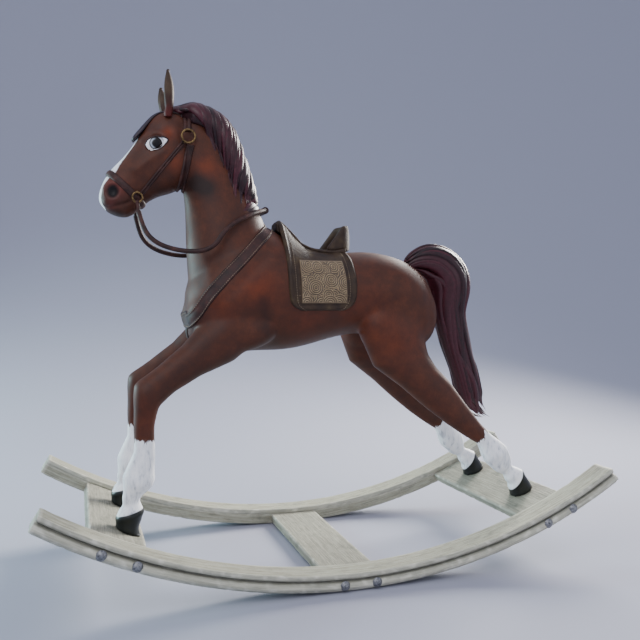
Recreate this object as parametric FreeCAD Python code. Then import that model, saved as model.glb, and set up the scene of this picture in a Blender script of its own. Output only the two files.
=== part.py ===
import FreeCAD, Part
import os
from math import asin, cos, degrees, pi, radians, sin, tan

# Rocking horse: a carved and hollow wooden horse in leather tack, screwed to three
# boards between two bent rockers. Millimetres, +Z up. The head points to -X and the
# horse's left side to -Y. The origin is on the floor, below the middle of the rockers.

V = FreeCAD.Vector
ACROSS = V(0, 1, 0)

# ---- driving dimensions: rocker frame ----
rocker_radius = 1158.0       # bottom arc of both rockers
rocker_half_length = 600.0   # from the middle to an end, along X
rail_gap_half = 210.0        # from the middle plane to a rail's inner face
rail_width = 64.0
rail_height = 24.0
rail_bulge = 7.0             # how far the outer face rounds outwards
cap_thickness = 11.0
cap_setback = 4.0            # the cap's outer edge behind the rail's roundest line
cap_edge_radius = 3.0
board_width = 115.0
board_thickness = 19.0
board_top_height = 24.0      # top face above the rockers' bottom arc
board_angle = 23.2           # front and rear boards, along the arc from the middle
board_edge_radius = 2.0

# ---- driving dimensions: fasteners ----
bolt_diameter = 8.0
bolt_head_diameter = 20.0
bolt_head_height = 6.0
bolt_head_seat_depth = 2.0   # flat seat cut into the rounded face
bolt_spacing = 66.0
bolt_height = 14.5           # bolt axis above the bottom arc
bolt_reach = 48.0            # how far a bolt runs into a board
nut_diameter = 12.0
nut_length = 12.0
nut_from_board_end = 38.0
hole_clearance = 0.25        # radial, in rails and boards
screw_diameter = 6.0
screw_head_diameter = 12.0
screw_head_height = 3.5
screw_reach = 32.0           # into a hoof
screw_spacing = 22.0
dowel_diameter = 16.0

# ---- driving dimensions: horse ----
body_joint_height = 572.0    # glue line between the two halves of the body
body_wall = 30.0
foreleg_spread = 100.0       # from the middle plane to the middle of a hoof
hindleg_spread = 110.0
eye_dome_radius = 34.0       # of the sphere that each glass eye is a slice of
eye_slice_from_middle = 36.0 # the eye's flat back, from the middle plane

# ---- driving dimensions: tack ----
strap_thickness = 3.0
skirt_thickness = 5.0
panel_glue_line = 0.02
panel_thickness = 3.0
bit_ring_radius = 10.0       # to the middle of the wire
bit_wire = 2.0               # wire radius
cheek_ring_radius = 13.5
cheek_wire = 2.2
ring_clearance = 0.4         # between a ring and the loops that hold it
loop_wall = 2.0
loop_length = 7.0
rein_diameter = 10.0

# Sections along the carved pieces: the ends of each section in the side view
# (front or top x, z, then back or bottom x, z), its half width, and the distance of
# its middle from the middle plane.
body_sections = [
    (-296, 556, -294, 508, 20, 0),
    (-287, 612, -284, 470, 60, 0),
    (-250, 668, -250, 454, 90, 0),
    (-190, 716, -190, 449, 102, 0),
    (-120, 720, -120, 452, 105, 0),
    (-50, 682, -50, 458, 106, 0),
    (30, 668, 30, 478, 104, 0),
    (100, 672, 100, 486, 107, 0),
    (165, 664, 165, 478, 108, 0),
    (220, 640, 217, 482, 94, 0),
    (254, 604, 252, 508, 62, 0),
    (264, 572, 263, 535, 22, 0),
]
cavity_sections = [
    (-205, 640, -205, 500, 58, 0),
    (-120, 660, -120, 490, 72, 0),
    (30, 636, 30, 510, 72, 0),
    (150, 632, 150, 516, 66, 0),
]
neck_sections = [
    (-290, 590, -120, 700, 80, 0),
    (-294, 650, -146, 768, 66, 0),
    (-296, 708, -174, 822, 55, 0),
    (-298, 762, -194, 872, 48, 0),
    (-304, 800, -212, 916, 45, 0),
    (-318, 835, -246, 950, 43, 0),
    (-336, 858, -286, 952, 38, 0),
]
head_sections = [
    (-318, 955, -268, 905, 30, 0),
    (-345, 955, -284, 850, 42, 0),
    (-372, 934, -300, 806, 48, 0),
    (-392, 902, -328, 787, 50, 0),
    (-412, 872, -354, 778, 46, 0),
    (-432, 848, -380, 762, 38, 0),
    (-450, 828, -402, 742, 33, 0),
    (-466, 800, -424, 733, 31, 0),
    (-473, 774, -446, 738, 24, 0),
    (-470, 760, -459, 746, 9, 0),
]
foreleg_sections = [
    (-262, 528, -200, 436, 42, -58),
    (-316, 468, -276, 408, 31, -74),
    (-364, 430, -330, 378, 26, -86),
    (-411, 396, -364, 350, 24, -93),
    (-414, 312, -373, 312, 17, -97),
    (-414, 262, -372, 262, 16, -99),
    (-435, 216, -374, 210, 21, -100),
    (-434, 184, -394, 176, 16, -100),
    (-444, 154, -396, 160, 21, -100),
]
hindleg_sections = [
    (90, 560, 240, 560, 42, -56),
    (74, 488, 226, 482, 46, -68),
    (104, 416, 234, 440, 38, -77),
    (166, 370, 250, 412, 31, -84),
    (220, 324, 280, 380, 26, -91),
    (272, 284, 316, 330, 21, -98),
    (322, 250, 352, 284, 18, -103),
    (346, 236, 372, 262, 17, -106),
    (362, 196, 416, 228, 21, -109),
    (403, 160, 436, 186, 16, -110),
    (428, 138, 462, 164, 21, -110),
]
hoof_half_length = 28.0
hoof_half_width = 26.0
foreleg_hoof_x = -424.0
hindleg_hoof_x = 458.0
ear_sections = [
    (-343, 940, -328, 940, 9, -29),
    (-345, 966, -327, 966, 13, -31),
    (-344, 996, -329, 996, 12, -34),
    (-342, 1020, -332, 1020, 7, -36),
    (-339, 1036, -336, 1036, 2, -37),
]
mane_sections = [
    (-334, 962, -318, 925, 20, 0),
    (-257, 973, -264, 905, 47, 0),
    (-216, 951, -244, 885, 50, 0),
    (-187, 904, -230, 850, 52, 0),
    (-166, 848, -216, 812, 50, 0),
    (-150, 796, -194, 775, 40, 0),
    (-143, 768, -168, 752, 18, 0),
]
forelock_sections = [
    (-330, 966, -322, 945, 15, 0),
    (-362, 955, -350, 930, 16, 0),
    (-391, 925, -374, 908, 11, 0),
    (-404, 906, -395, 898, 3, 0),
]
tail_sections = [
    (192, 640, 222, 602, 15, 0),
    (252, 684, 262, 612, 26, 0),
    (308, 698, 272, 600, 34, 0),
    (354, 678, 278, 570, 38, 0),
    (386, 620, 289, 530, 38, 0),
    (374, 556, 298, 488, 34, 0),
    (380, 490, 314, 440, 30, 0),
    (393, 430, 334, 390, 26, 0),
    (403, 375, 345, 345, 22, 0),
    (412, 325, 360, 310, 16, 0),
    (432, 286, 404, 288, 9, 0),
    (447, 272, 437, 281, 4, 0),
]

# Places of the tack, side view (x, z)
bit_ring_place = (-399.0, 771.0)
bit_ring_out = 39.0          # ring plane from the middle plane
cheek_ring_place = (-297.0, 899.0)
cheek_ring_out = 52.0
noseband_line = ((-474, 842), (-372, 745), 11)
cheek_strap_line = ((-392, 778), (-307, 886), 8)
crown_strap_line = ((-298, 906), (-295, 990), 10)
throat_lash_line = ((-290, 886), (-312, 776), 13)
breast_strap_lines = (((-112, 732), (-268, 570), 14), ((-262, 577), (-306, 503), 14))
chest_strap_half_width = 9.0
skirt_front_x = -98.0
skirt_rear_x = 54.0
skirt_bottom = 540.0
skirt_corner_radius = 28.0
panel_width = 102.0
panel_height = 92.0
panel_middle = (-20.0, 601.0)
seat_half_width = 44.0
pommel_height = 736.0
seat_height = 672.0
cantle_half_width = 35.0
cantle_wall = 12.0
cantle_height = 727.0
cantle_middle_x = 34.0       # where the cantle's round back begins
cantle_tip_x = 14.0
rein_join_place = (-128.0, 756.0)
rein_join_half_width = 24.0
rein_route = [
    (-397, -43, 742), (-391, -50, 715), (-378, -58, 689), (-352, -66, 671), (-312, -73, 661),
    (-272, -83, 661), (-246, -87, 676), (-232, -85, 700), (-208, -78, 722), (-177, -65, 738),
    (-150, -45, 750), (-130, -24, 756),
]


def section_middle(section):
    return V((section[0] + section[2]) / 2, section[5], (section[1] + section[3]) / 2)


def section_wire(section, grow=0.0, shift=V(0, 0, 0)):
    """One closed smooth curve around a section, made larger by grow all round."""
    front_x, front_z, back_x, back_z, half_width = section[:5]
    middle = section_middle(section) + shift
    depth = V(front_x - back_x, 0, front_z - back_z) * 0.5
    depth = depth * (1 + grow / depth.Length)
    points = []
    for step in range(12):
        turn = 2 * pi * step / 12
        points.append(middle + depth * cos(turn) + ACROSS * ((half_width + grow) * sin(turn)))
    curve = Part.BSplineCurve()
    curve.interpolate(Points=points, PeriodicFlag=True, Parameters=[step / 12 for step in range(13)])
    return Part.Wire(curve.toShape())


def carved(sections, grow=0.0, straight=False):
    """A solid through its sections, made larger by grow all round and at its ends."""
    first = section_middle(sections[0]) - section_middle(sections[1])
    last = section_middle(sections[-1]) - section_middle(sections[-2])
    wires = [section_wire(sections[0], grow, first.normalize() * grow)]
    wires += [section_wire(section, grow) for section in sections[1:-1]]
    wires.append(section_wire(sections[-1], grow, last.normalize() * grow))
    return Part.makeLoft(wires, True, straight)


def mirrored(shape):
    """The other side's copy of a left-hand shape."""
    return shape.mirror(V(0, 0, 0), ACROSS)


def rod(start, end, diameter):
    """A round bar between two points."""
    run = end - start
    return Part.makeCylinder(diameter / 2, run.Length, start, run)


def side_prism(points, low_y, high_y):
    """A side-view outline (x, z), extruded across the horse."""
    corners = [V(x, low_y, z) for x, z in points]
    return Part.Face(Part.makePolygon(corners + corners[:1])).extrude(V(0, high_y - low_y, 0))


def strap_slab(line, low_y=-200.0, high_y=200.0):
    """A flat slab across the horse, from which a strap's band is cut."""
    (start_x, start_z), (end_x, end_z), width = line
    run = V(end_x - start_x, 0, end_z - start_z)
    side = V(-run.z, 0, run.x) * (width / 2 / run.Length)
    corners = [(start_x + side.x, start_z + side.z), (end_x + side.x, end_z + side.z),
               (end_x - side.x, end_z - side.z), (start_x - side.x, start_z - side.z)]
    return side_prism(corners, low_y, high_y)


def left_half(shape):
    """What lies on the horse's left of the middle plane."""
    return shape.common(Part.makeBox(2000, 400, 1400, V(-1000, -400, -100)))


def along_rocker(shape, angle):
    """Turns a piece at the rockers' lowest place along the arc to its own place."""
    turned = shape.copy()
    turned.rotate(V(0, 0, rocker_radius), ACROSS, -angle)
    return turned


def rocker_sweep(profile):
    """Sweeps a profile at the rockers' lowest place along the whole arc."""
    half_angle = degrees(asin(rocker_half_length / rocker_radius))
    start = along_rocker(profile, -half_angle)
    return start.revolve(V(0, 0, rocker_radius), ACROSS, -2 * half_angle)


def rocker_rail():
    """The left lower rail, square inside and rounded outside."""
    inner = -rail_gap_half
    shoulder = inner - rail_width + rail_bulge
    crown = V(0, inner - rail_width, rail_height / 2)
    bottom_inner, top_inner = V(0, inner, 0), V(0, inner, rail_height)
    bottom_outer, top_outer = V(0, shoulder, 0), V(0, shoulder, rail_height)
    edges = [Part.makeLine(top_inner, bottom_inner),
             Part.makeLine(bottom_inner, bottom_outer),
             Part.Arc(bottom_outer, crown, top_outer).toShape(),
             Part.makeLine(top_outer, top_inner)]
    return rocker_sweep(Part.Face(Part.Wire(edges)))


def rocker_cap():
    """The left cap strip, with softened long edges on top."""
    inner = -rail_gap_half
    outer = inner - rail_width + cap_setback
    low, high = rail_height, rail_height + cap_thickness
    r = cap_edge_radius
    bow = r * (1 - cos(pi / 4))
    edges = [Part.makeLine(V(0, outer, low), V(0, inner, low)),
             Part.makeLine(V(0, inner, low), V(0, inner, high - r)),
             Part.Arc(V(0, inner, high - r), V(0, inner - bow, high - bow), V(0, inner - r, high)).toShape(),
             Part.makeLine(V(0, inner - r, high), V(0, outer + r, high)),
             Part.Arc(V(0, outer + r, high), V(0, outer + bow, high - bow), V(0, outer, high - r)).toShape(),
             Part.makeLine(V(0, outer, high - r), V(0, outer, low))]
    return rocker_sweep(Part.Face(Part.Wire(edges)))


def board_blank():
    """A cross board at the rockers' lowest place, with softened long edges."""
    blank = Part.makeBox(board_width, 2 * rail_gap_half, board_thickness,
                         V(-board_width / 2, -rail_gap_half, board_top_height - board_thickness))
    long_edges = [edge for edge in blank.Edges if abs(edge.tangentAt(0).y) > 0.9]
    return blank.makeFillet(board_edge_radius, long_edges)


def bolt_places():
    return [-bolt_spacing / 2, bolt_spacing / 2]


def bolt(x, extra=0.0):
    """A left-hand dome-head bolt at the lowest board; extra makes the cutter for its hole."""
    seat = -rail_gap_half - rail_width + bolt_head_seat_depth
    base = V(x, seat, bolt_height)
    shank = Part.makeCylinder(bolt_diameter / 2 + extra, -seat - rail_gap_half + bolt_reach, base, ACROSS)
    head_half = bolt_head_diameter / 2
    if extra:
        return shank.fuse(Part.makeCylinder(head_half, bolt_head_height, base, V(0, -1, 0)))
    ball_radius = (head_half ** 2 + bolt_head_height ** 2) / (2 * bolt_head_height)
    ball = Part.makeSphere(ball_radius, base + ACROSS * (ball_radius - bolt_head_height))
    dome = ball.common(Part.makeCylinder(head_half + 1, bolt_head_height + 1, base, V(0, -1, 0)))
    return shank.fuse(dome)


def nut_blank(x, length):
    """A round nut standing in the board, from the top of its hole down."""
    top = bolt_height + nut_length / 2
    return Part.makeCylinder(nut_diameter / 2, length, V(x, -rail_gap_half + nut_from_board_end, top - length))


def both_sides(shape):
    return [shape, mirrored(shape)]


def hoof_places():
    """Each hoof's board angle, place along its board and distance from the middle plane."""
    places = []
    for x, spread, angle in ((foreleg_hoof_x, foreleg_spread, -board_angle),
                             (hindleg_hoof_x, hindleg_spread, board_angle)):
        board_middle = (rocker_radius - board_top_height) * sin(radians(angle))
        along = (x - board_middle) / cos(radians(angle))
        places.append((angle, along, spread))
    return places


def hoof_section(angle, along, middle_y, half_length, half_width):
    """The flat bottom of a hoof, in its board's top face."""
    arm = rocker_radius - board_top_height
    turn = radians(angle)
    middle_x = arm * sin(turn) + along * cos(turn)
    middle_z = rocker_radius - arm * cos(turn) + along * sin(turn)
    reach_x, reach_z = half_length * cos(turn), half_length * sin(turn)
    return (middle_x - reach_x, middle_z - reach_z, middle_x + reach_x, middle_z + reach_z,
            half_width, middle_y)


def leg(sections, angle, along, spread):
    """A left leg down to the board that it stands on."""
    hoof = hoof_section(angle, along, -spread, hoof_half_length, hoof_half_width)
    return carved(sections + [hoof], straight=True)


def hoof_screw(angle, along, middle_y, extra=0.0):
    """A countersunk screw up through the board into a hoof; extra widens its hole."""
    board_bottom = V(along, middle_y, board_top_height - board_thickness)
    length = board_thickness + screw_reach
    shank = Part.makeCylinder(screw_diameter / 2 + extra, length, board_bottom)
    head = Part.makeCone(screw_head_diameter / 2 + extra, screw_diameter / 2 + extra,
                         screw_head_height, board_bottom)
    return along_rocker(shank.fuse(head), angle)


def hoof_screws(extra=0.0):
    screws = []
    for angle, along, spread in hoof_places():
        for offset in (-screw_spacing / 2, screw_spacing / 2):
            screws += both_sides(hoof_screw(angle, along + offset, -spread, extra))
    return screws


def ring(place, out, radius, wire):
    """A wire ring that lies flat against the horse's left side."""
    return Part.makeTorus(radius, wire, V(place[0], -out, place[1]), ACROSS)


def ring_loop(place, out, radius, wire, angle):
    """A leather loop round a ring's wire, on a tab that reaches in to the strap."""
    turn = radians(angle)
    outwards, run = V(cos(turn), 0, sin(turn)), V(-sin(turn), 0, cos(turn))
    middle = V(place[0], -out, place[1]) + outwards * radius
    loop_radius = wire + ring_clearance + loop_wall
    tube = Part.makeCylinder(loop_radius, loop_length, middle - run * (loop_length / 2), run)
    tab = Part.makeBox(loop_wall, loop_length, out, V(0, -loop_length / 2, 0))
    tab.Placement = FreeCAD.Placement(middle + outwards * (loop_radius - loop_wall),
                                      FreeCAD.Rotation(outwards, run, ACROSS, "ZXY"))
    return tube.fuse(tab).cut(ring(place, out, radius, wire + ring_clearance))


def arc_path(route, report=None):
    """Straight runs joined by tangent arcs, each as large as its two runs allow."""
    points = [V(*point) for point in route]
    edges = []
    here = points[0]
    for before, corner, after in zip(points, points[1:], points[2:]):
        run_in, run_out = corner - before, after - corner
        turn = run_in.getAngle(run_out)
        radius = 0.45 * min(run_in.Length, run_out.Length) / tan(turn / 2)
        reach = radius * tan(turn / 2)
        unit_in, unit_out = run_in / run_in.Length, run_out / run_out.Length
        start, end = corner - unit_in * reach, corner + unit_out * reach
        towards = unit_out - unit_in
        centre = start + (towards - unit_in * towards.dot(unit_in)).normalize() * radius
        crest = centre + (corner - centre).normalize() * radius
        edges.append(Part.LineSegment(here, start).toShape())
        edges.append(Part.Arc(start, crest, end).toShape())
        here = end
        if report is not None:
            report.append(radius)
    edges.append(Part.LineSegment(here, points[-1]).toShape())
    return Part.Wire(edges)


def rein():
    """The left rein: a round leather cord from the bit to the withers."""
    radii = []
    path = arc_path(rein_route, radii)
    start = V(*rein_route[0])
    direction = V(*rein_route[1]) - start
    profile = Part.Wire(Part.makeCircle(rein_diameter / 2, start, direction))
    tube = path.makePipeShell([profile], True, False)
    section = pi * rein_diameter ** 2 / 4
    print("rein radii", [round(radius) for radius in radii], "length", round(path.Length),
          "volume ratio", round(tube.Volume / (section * path.Length), 4))
    return tube


def rein_loop():
    """The loop that ties the left rein to the bit ring, and its stub down to the rein."""
    start, following = V(*rein_route[0]), V(*rein_route[1])
    ring_middle = V(bit_ring_place[0], -bit_ring_out, bit_ring_place[1])
    lowest = ring_middle - V(0, 0, bit_ring_radius)
    ball = Part.makeSphere(bit_wire + ring_clearance + loop_wall, lowest)
    stub = rod(lowest, start, rein_diameter * 0.7)
    whole = ball.fuse(stub)
    whole = whole.cut(ring(bit_ring_place, bit_ring_out, bit_ring_radius, bit_wire + ring_clearance))
    beyond = Part.makeCylinder(rein_diameter, 20, start, following - start)
    return whole.cut(beyond)


def skirt_outline():
    """The saddle skirt in the side view, with rounded lower corners."""
    r = skirt_corner_radius
    bow = r * (1 - cos(pi / 4))
    low, high = skirt_bottom, 800.0
    front, rear = skirt_front_x, skirt_rear_x

    def at(x, z):
        return V(x, -200, z)
    edges = [Part.makeLine(at(front, high), at(front, low + r)),
             Part.Arc(at(front, low + r), at(front + bow, low + bow), at(front + r, low)).toShape(),
             Part.makeLine(at(front + r, low), at(rear - r, low)),
             Part.Arc(at(rear - r, low), at(rear - bow, low + bow), at(rear, low + r)).toShape(),
             Part.makeLine(at(rear, low + r), at(rear, high)),
             Part.makeLine(at(rear, high), at(front, high))]
    return Part.Face(Part.Wire(edges)).extrude(V(0, 400, 0))


def cantle_plan(half_width):
    """A block with a round back and straight sides, as wide as given."""
    low, height = 620.0, 130.0
    back = Part.makeCylinder(half_width, height, V(cantle_middle_x, 0, low))
    sides = Part.makeBox(60, 2 * half_width, height, V(cantle_middle_x - 60, -half_width, low))
    return back.fuse(sides)


def crown_of_saddle(half_width, top):
    """A long rounded form that keeps the seat's shoulders soft."""
    spine = 640.0
    rise = top - spine
    if rise > half_width:
        outline = Part.Ellipse(V(-200, 0, top), V(-200, half_width, spine), V(-200, 0, spine))
    else:
        outline = Part.Ellipse(V(-200, half_width, spine), V(-200, 0, top), V(-200, 0, spine))
    return Part.Face(Part.Wire(outline.toShape())).extrude(V(400, 0, 0))


nodes = {}

# ---- rocker frame ----
rail = rocker_rail()
cap = rocker_cap()
nuts = []
left_bolts = []
for board_name, angle in (("front_board", -board_angle), ("centre_board", 0.0), ("rear_board", board_angle)):
    board = board_blank()
    for x in bolt_places():
        hole = bolt(x, hole_clearance)
        pocket = nut_blank(x, bolt_height + nut_length / 2)
        nut = nut_blank(x, nut_length).cut(bolt(x))
        for cutter in both_sides(hole) + both_sides(pocket):
            board = board.cut(cutter)
        nuts += [along_rocker(one, angle) for one in both_sides(nut)]
        rail = rail.cut(along_rocker(hole, angle))
        left_bolts.append(along_rocker(bolt(x), angle))
    board = along_rocker(board, angle)
    for screw in hoof_screws(hole_clearance):
        board = board.cut(screw)
    nodes[board_name] = board
nodes["rocker_rail_left"] = rail
nodes["rocker_rail_right"] = mirrored(rail)
nodes["rocker_cap_left"] = cap
nodes["rocker_cap_right"] = mirrored(cap)
nodes["rocker_bolts_left"] = Part.makeCompound(left_bolts)
nodes["rocker_bolts_right"] = mirrored(nodes["rocker_bolts_left"])
nodes["barrel_nuts"] = Part.makeCompound(nuts)
nodes["hoof_screws"] = Part.makeCompound(hoof_screws())

# ---- horse ----
body = carved(body_sections)
head = carved(head_sections)
neck = carved(neck_sections).cut(head).cut(body)
trunk = [body, neck, head]
fore_place, hind_place = hoof_places()
foreleg = leg(foreleg_sections, *fore_place).cut(body)
hindleg = leg(hindleg_sections, *hind_place).cut(body)
for screw in hoof_screws():
    foreleg = foreleg.cut(screw)
    hindleg = hindleg.cut(screw)
legs = both_sides(foreleg) + both_sides(hindleg)

leg_dowel_lines = [((-236, -40, 500), (-262, -84, 470)), ((-214, -44, 478), (-236, -88, 446)),
                   ((130, -50, 520), (128, -96, 478)), ((185, -50, 520), (187, -96, 478))]
leg_dowels = []
for start, end in leg_dowel_lines:
    leg_dowels += both_sides(rod(V(*start), V(*end), dowel_diameter))
neck_dowels = both_sides(rod(V(-196, -24, 668), V(-226, -24, 752), dowel_diameter))
head_dowel = rod(V(-262, 0, 872), V(-336, 0, 876), dowel_diameter)
tail_peg = rod(V(196, 0, 612), V(268, 0, 646), dowel_diameter)

eye_centre = V(-362, -14, 880)
eye_side = Part.makeBox(200, 100, 200, V(-462, -eye_slice_from_middle - 100, 780))
eye = Part.makeSphere(eye_dome_radius, eye_centre).common(eye_side)
for one in both_sides(eye) + [head_dowel]:
    head = head.cut(one)
neck_block = neck
for one in neck_dowels + [head_dowel]:
    neck_block = neck_block.cut(one)
tail = carved(tail_sections).cut(tail_peg).cut(body)
ear = carved(ear_sections).cut(head).cut(neck)
body_block = body.cut(carved(cavity_sections))
for one in leg_dowels + neck_dowels + [tail_peg]:
    body_block = body_block.cut(one)
upper_space = Part.makeBox(1000, 600, 600, V(-500, -300, body_joint_height))
for one in leg_dowels:
    foreleg = foreleg.cut(one)
    hindleg = hindleg.cut(one)
nodes["body_upper"] = body_block.common(upper_space)
nodes["body_lower"] = body_block.cut(upper_space)
nodes["neck"] = neck_block
nodes["head"] = head
nodes["foreleg_left"], nodes["foreleg_right"] = both_sides(foreleg)
nodes["hindleg_left"], nodes["hindleg_right"] = both_sides(hindleg)
nodes["leg_dowels"] = Part.makeCompound(leg_dowels)
nodes["neck_dowels"] = Part.makeCompound(neck_dowels)
nodes["head_dowel"] = head_dowel
nodes["tail_peg"] = tail_peg
nodes["ear_left"], nodes["ear_right"] = both_sides(ear)
nodes["eye_left"], nodes["eye_right"] = both_sides(eye)
nodes["tail"] = tail

# ---- bridle ----
head_over = carved(head_sections, strap_thickness)
neck_over = carved(neck_sections, strap_thickness)


def bridle_band(line, forms):
    """A strap's band over the given forms, taken off the horse underneath."""
    slab = strap_slab(line)
    band = None
    for form in forms:
        strip = form.common(slab)
        band = strip if band is None else band.fuse(strip)
    for solid in trunk:
        band = band.cut(solid)
    return band


def bit_loop(angle):
    return ring_loop(bit_ring_place, bit_ring_out, bit_ring_radius, bit_wire, angle)


def cheek_loop(angle):
    return ring_loop(cheek_ring_place, cheek_ring_out, cheek_ring_radius, cheek_wire, angle)


def with_loops(band, loops):
    """A band and its loops in one piece of leather, clear of the horse."""
    for loop in loops:
        band = band.fuse(loop.cut(trunk[2]).cut(trunk[1]))
    return band


noseband = with_loops(bridle_band(noseband_line, [head_over]),
                      both_sides(bit_loop(135)) + both_sides(bit_loop(-20)))
cheek_strap = with_loops(left_half(bridle_band(cheek_strap_line, [head_over, neck_over])),
                         [bit_loop(52), cheek_loop(232)])
crown_strap = with_loops(bridle_band(crown_strap_line, [head_over, neck_over]), both_sides(cheek_loop(90)))
throat_lash = with_loops(bridle_band(throat_lash_line, [head_over, neck_over]), both_sides(cheek_loop(-62)))
nodes["noseband"] = noseband
nodes["cheek_strap_left"], nodes["cheek_strap_right"] = both_sides(cheek_strap.cut(throat_lash))
nodes["crown_strap"] = crown_strap
nodes["throat_lash"] = throat_lash
nodes["bit_ring_left"], nodes["bit_ring_right"] = both_sides(
    ring(bit_ring_place, bit_ring_out, bit_ring_radius, bit_wire))
nodes["cheek_ring_left"], nodes["cheek_ring_right"] = both_sides(
    ring(cheek_ring_place, cheek_ring_out, cheek_ring_radius, cheek_wire))

mane = carved(mane_sections)
for solid in (neck, head, body, crown_strap, *both_sides(ear)):
    mane = mane.cut(solid)
forelock = carved(forelock_sections)
for solid in (head, neck, mane, *both_sides(ear)):
    forelock = forelock.cut(solid)
nodes["mane"] = mane
nodes["forelock"] = forelock

# ---- saddle and breast strap ----
body_under_panel = carved(body_sections, skirt_thickness)
skirt = body_under_panel.common(skirt_outline()).cut(body).cut(neck)
for solid in legs:
    skirt = skirt.cut(solid)
seat_profile = [(-96, 600), (-104, 728), (-98, pommel_height), (-89, pommel_height - 2), (-70, 712),
                (-50, 688), (-30, 678), (-4, seat_height + 1), (24, seat_height), (52, seat_height + 6),
                (52, 600)]
seat = side_prism(seat_profile, -seat_half_width, seat_half_width)
seat = seat.common(crown_of_saddle(seat_half_width, pommel_height + 6)).cut(body_under_panel).cut(neck)
cantle = cantle_plan(cantle_half_width).cut(cantle_plan(cantle_half_width - cantle_wall))
cantle_outline = [(cantle_tip_x, 640), (cantle_tip_x, seat_height + 6), (cantle_middle_x, 704),
                  (cantle_middle_x + 15, cantle_height - 2), (cantle_middle_x + 26, cantle_height),
                  (cantle_middle_x + cantle_half_width, 700), (cantle_middle_x + cantle_half_width + 1, 640)]
cantle = cantle.common(side_prism(cantle_outline, -100, 100)).cut(body_under_panel).cut(seat)
panel_middle_x, panel_middle_z = panel_middle
panel_left, panel_right = panel_middle_x - panel_width / 2, panel_middle_x + panel_width / 2
panel_low, panel_high = panel_middle_z - panel_height / 2, panel_middle_z + panel_height / 2
panel_prism = side_prism([(panel_left, panel_low), (panel_right, panel_low),
                          (panel_right, panel_high), (panel_left, panel_high)], -200, 0)
panel = carved(body_sections, skirt_thickness + panel_thickness).common(panel_prism)
panel = panel.cut(carved(body_sections, skirt_thickness + panel_glue_line))
nodes["saddle_skirt"] = skirt
nodes["saddle_seat"] = seat
nodes["saddle_cantle"] = cantle
nodes["saddle_panel_left"], nodes["saddle_panel_right"] = both_sides(panel)

body_over = carved(body_sections, strap_thickness)
breast_slab = strap_slab(breast_strap_lines[0]).fuse(strap_slab(breast_strap_lines[1]))
breast_strap = body_over.common(breast_slab).fuse(neck_over.common(breast_slab))
for solid in [body, neck, skirt, seat] + legs:
    breast_strap = breast_strap.cut(solid)
chest_space = Part.makeBox(60, 2 * chest_strap_half_width, 80, V(-320, -chest_strap_half_width, 440))
chest_strap = body_over.common(chest_space).cut(body).cut(breast_strap)
for solid in legs:
    chest_strap = chest_strap.cut(solid)
nodes["breast_strap"] = breast_strap
nodes["chest_strap"] = chest_strap

# ---- reins ----
rein_left = rein()
nodes["rein_left"], nodes["rein_right"] = both_sides(rein_left)
nodes["rein_loop_left"], nodes["rein_loop_right"] = both_sides(rein_loop())
join_x, join_z = rein_join_place
join = rod(V(join_x, -rein_join_half_width, join_z), V(join_x, rein_join_half_width, join_z), 15)
nodes["rein_join"] = join.cut(body).cut(neck).cut(mane).cut(nodes["rein_left"]).cut(nodes["rein_right"])

os.makedirs("parts", exist_ok=True)
for name, shape in nodes.items():
    shape.exportStep(os.path.join("parts", name + ".step"))
    print(name, len(shape.Solids), "valid" if shape.isValid() else "NOT VALID", round(shape.Volume))
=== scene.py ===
import math
import random

import bmesh
import bpy
import numpy as np
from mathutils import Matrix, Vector, noise
from mathutils.bvhtree import BVHTree


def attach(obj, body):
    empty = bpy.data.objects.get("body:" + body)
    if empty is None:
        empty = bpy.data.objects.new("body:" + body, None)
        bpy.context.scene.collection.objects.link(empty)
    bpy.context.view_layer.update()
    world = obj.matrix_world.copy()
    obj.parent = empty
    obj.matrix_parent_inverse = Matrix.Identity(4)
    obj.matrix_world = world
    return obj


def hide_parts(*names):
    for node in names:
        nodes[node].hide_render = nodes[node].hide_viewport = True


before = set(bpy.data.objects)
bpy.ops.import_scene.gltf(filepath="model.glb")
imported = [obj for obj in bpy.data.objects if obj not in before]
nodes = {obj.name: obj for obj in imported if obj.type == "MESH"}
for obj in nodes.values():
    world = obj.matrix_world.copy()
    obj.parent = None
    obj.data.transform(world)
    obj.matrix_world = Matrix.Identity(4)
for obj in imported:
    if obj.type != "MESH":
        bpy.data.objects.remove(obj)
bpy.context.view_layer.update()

MM = 0.001
SIDES = (("left", -1.0), ("right", 1.0))


# ---------------------------------------------------------------- camera, lights, floor

LENS_MM, SENSOR_MM = 42.1425, 36.0
CAMERA_PLACE, CAMERA_PITCH, CAMERA_YAW = (-0.5166, -1.6083, 0.5592), -0.0248, 0.3130
MIDDLE = (0, 0, 0.5)

# name, place, aim, size in m, power in W, colour, spread in radians
LIGHTS = (
    ("key", (-1.5, -2.0, 2.6), MIDDLE, 2.2, 37, (1, 1, 1), math.pi),
    ("fill", (1.9, -2.4, 1.2), MIDDLE, 2.2, 9, (1, 1, 1), math.pi),
    ("rim_cool", (-2.4, 1.3, 0.8), (-0.1, 0, 0.5), 0.8, 62, (0.62, 0.95, 1.0), math.pi),
    ("rim_warm", (2.3, 1.6, 1.7), (0.1, 0, 0.5), 1.5, 80, (1.0, 0.97, 0.92), 1.7),
    ("floor_glow", (0.15, 1.9, 2.6), (0.15, 1.85, 0.0), 1.6, 6, (0.97, 0.98, 1.0), 1.5),
)
SKY_COLOUR, SKY_STRENGTH = (0.57, 0.60, 0.75, 1), 1.1

# the floor sweep, in m
SWEEP_HALF_WIDTH, SWEEP_FRONT, SWEEP_BACK, SWEEP_HEIGHT, SWEEP_RADIUS, SWEEP_STEPS = 8.0, -6.0, 5.2, 6.0, 4.6, 32


def placed(name, data):
    """A new object in the scene."""
    made = bpy.data.objects.new(name, data)
    bpy.context.scene.collection.objects.link(made)
    return made


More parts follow.
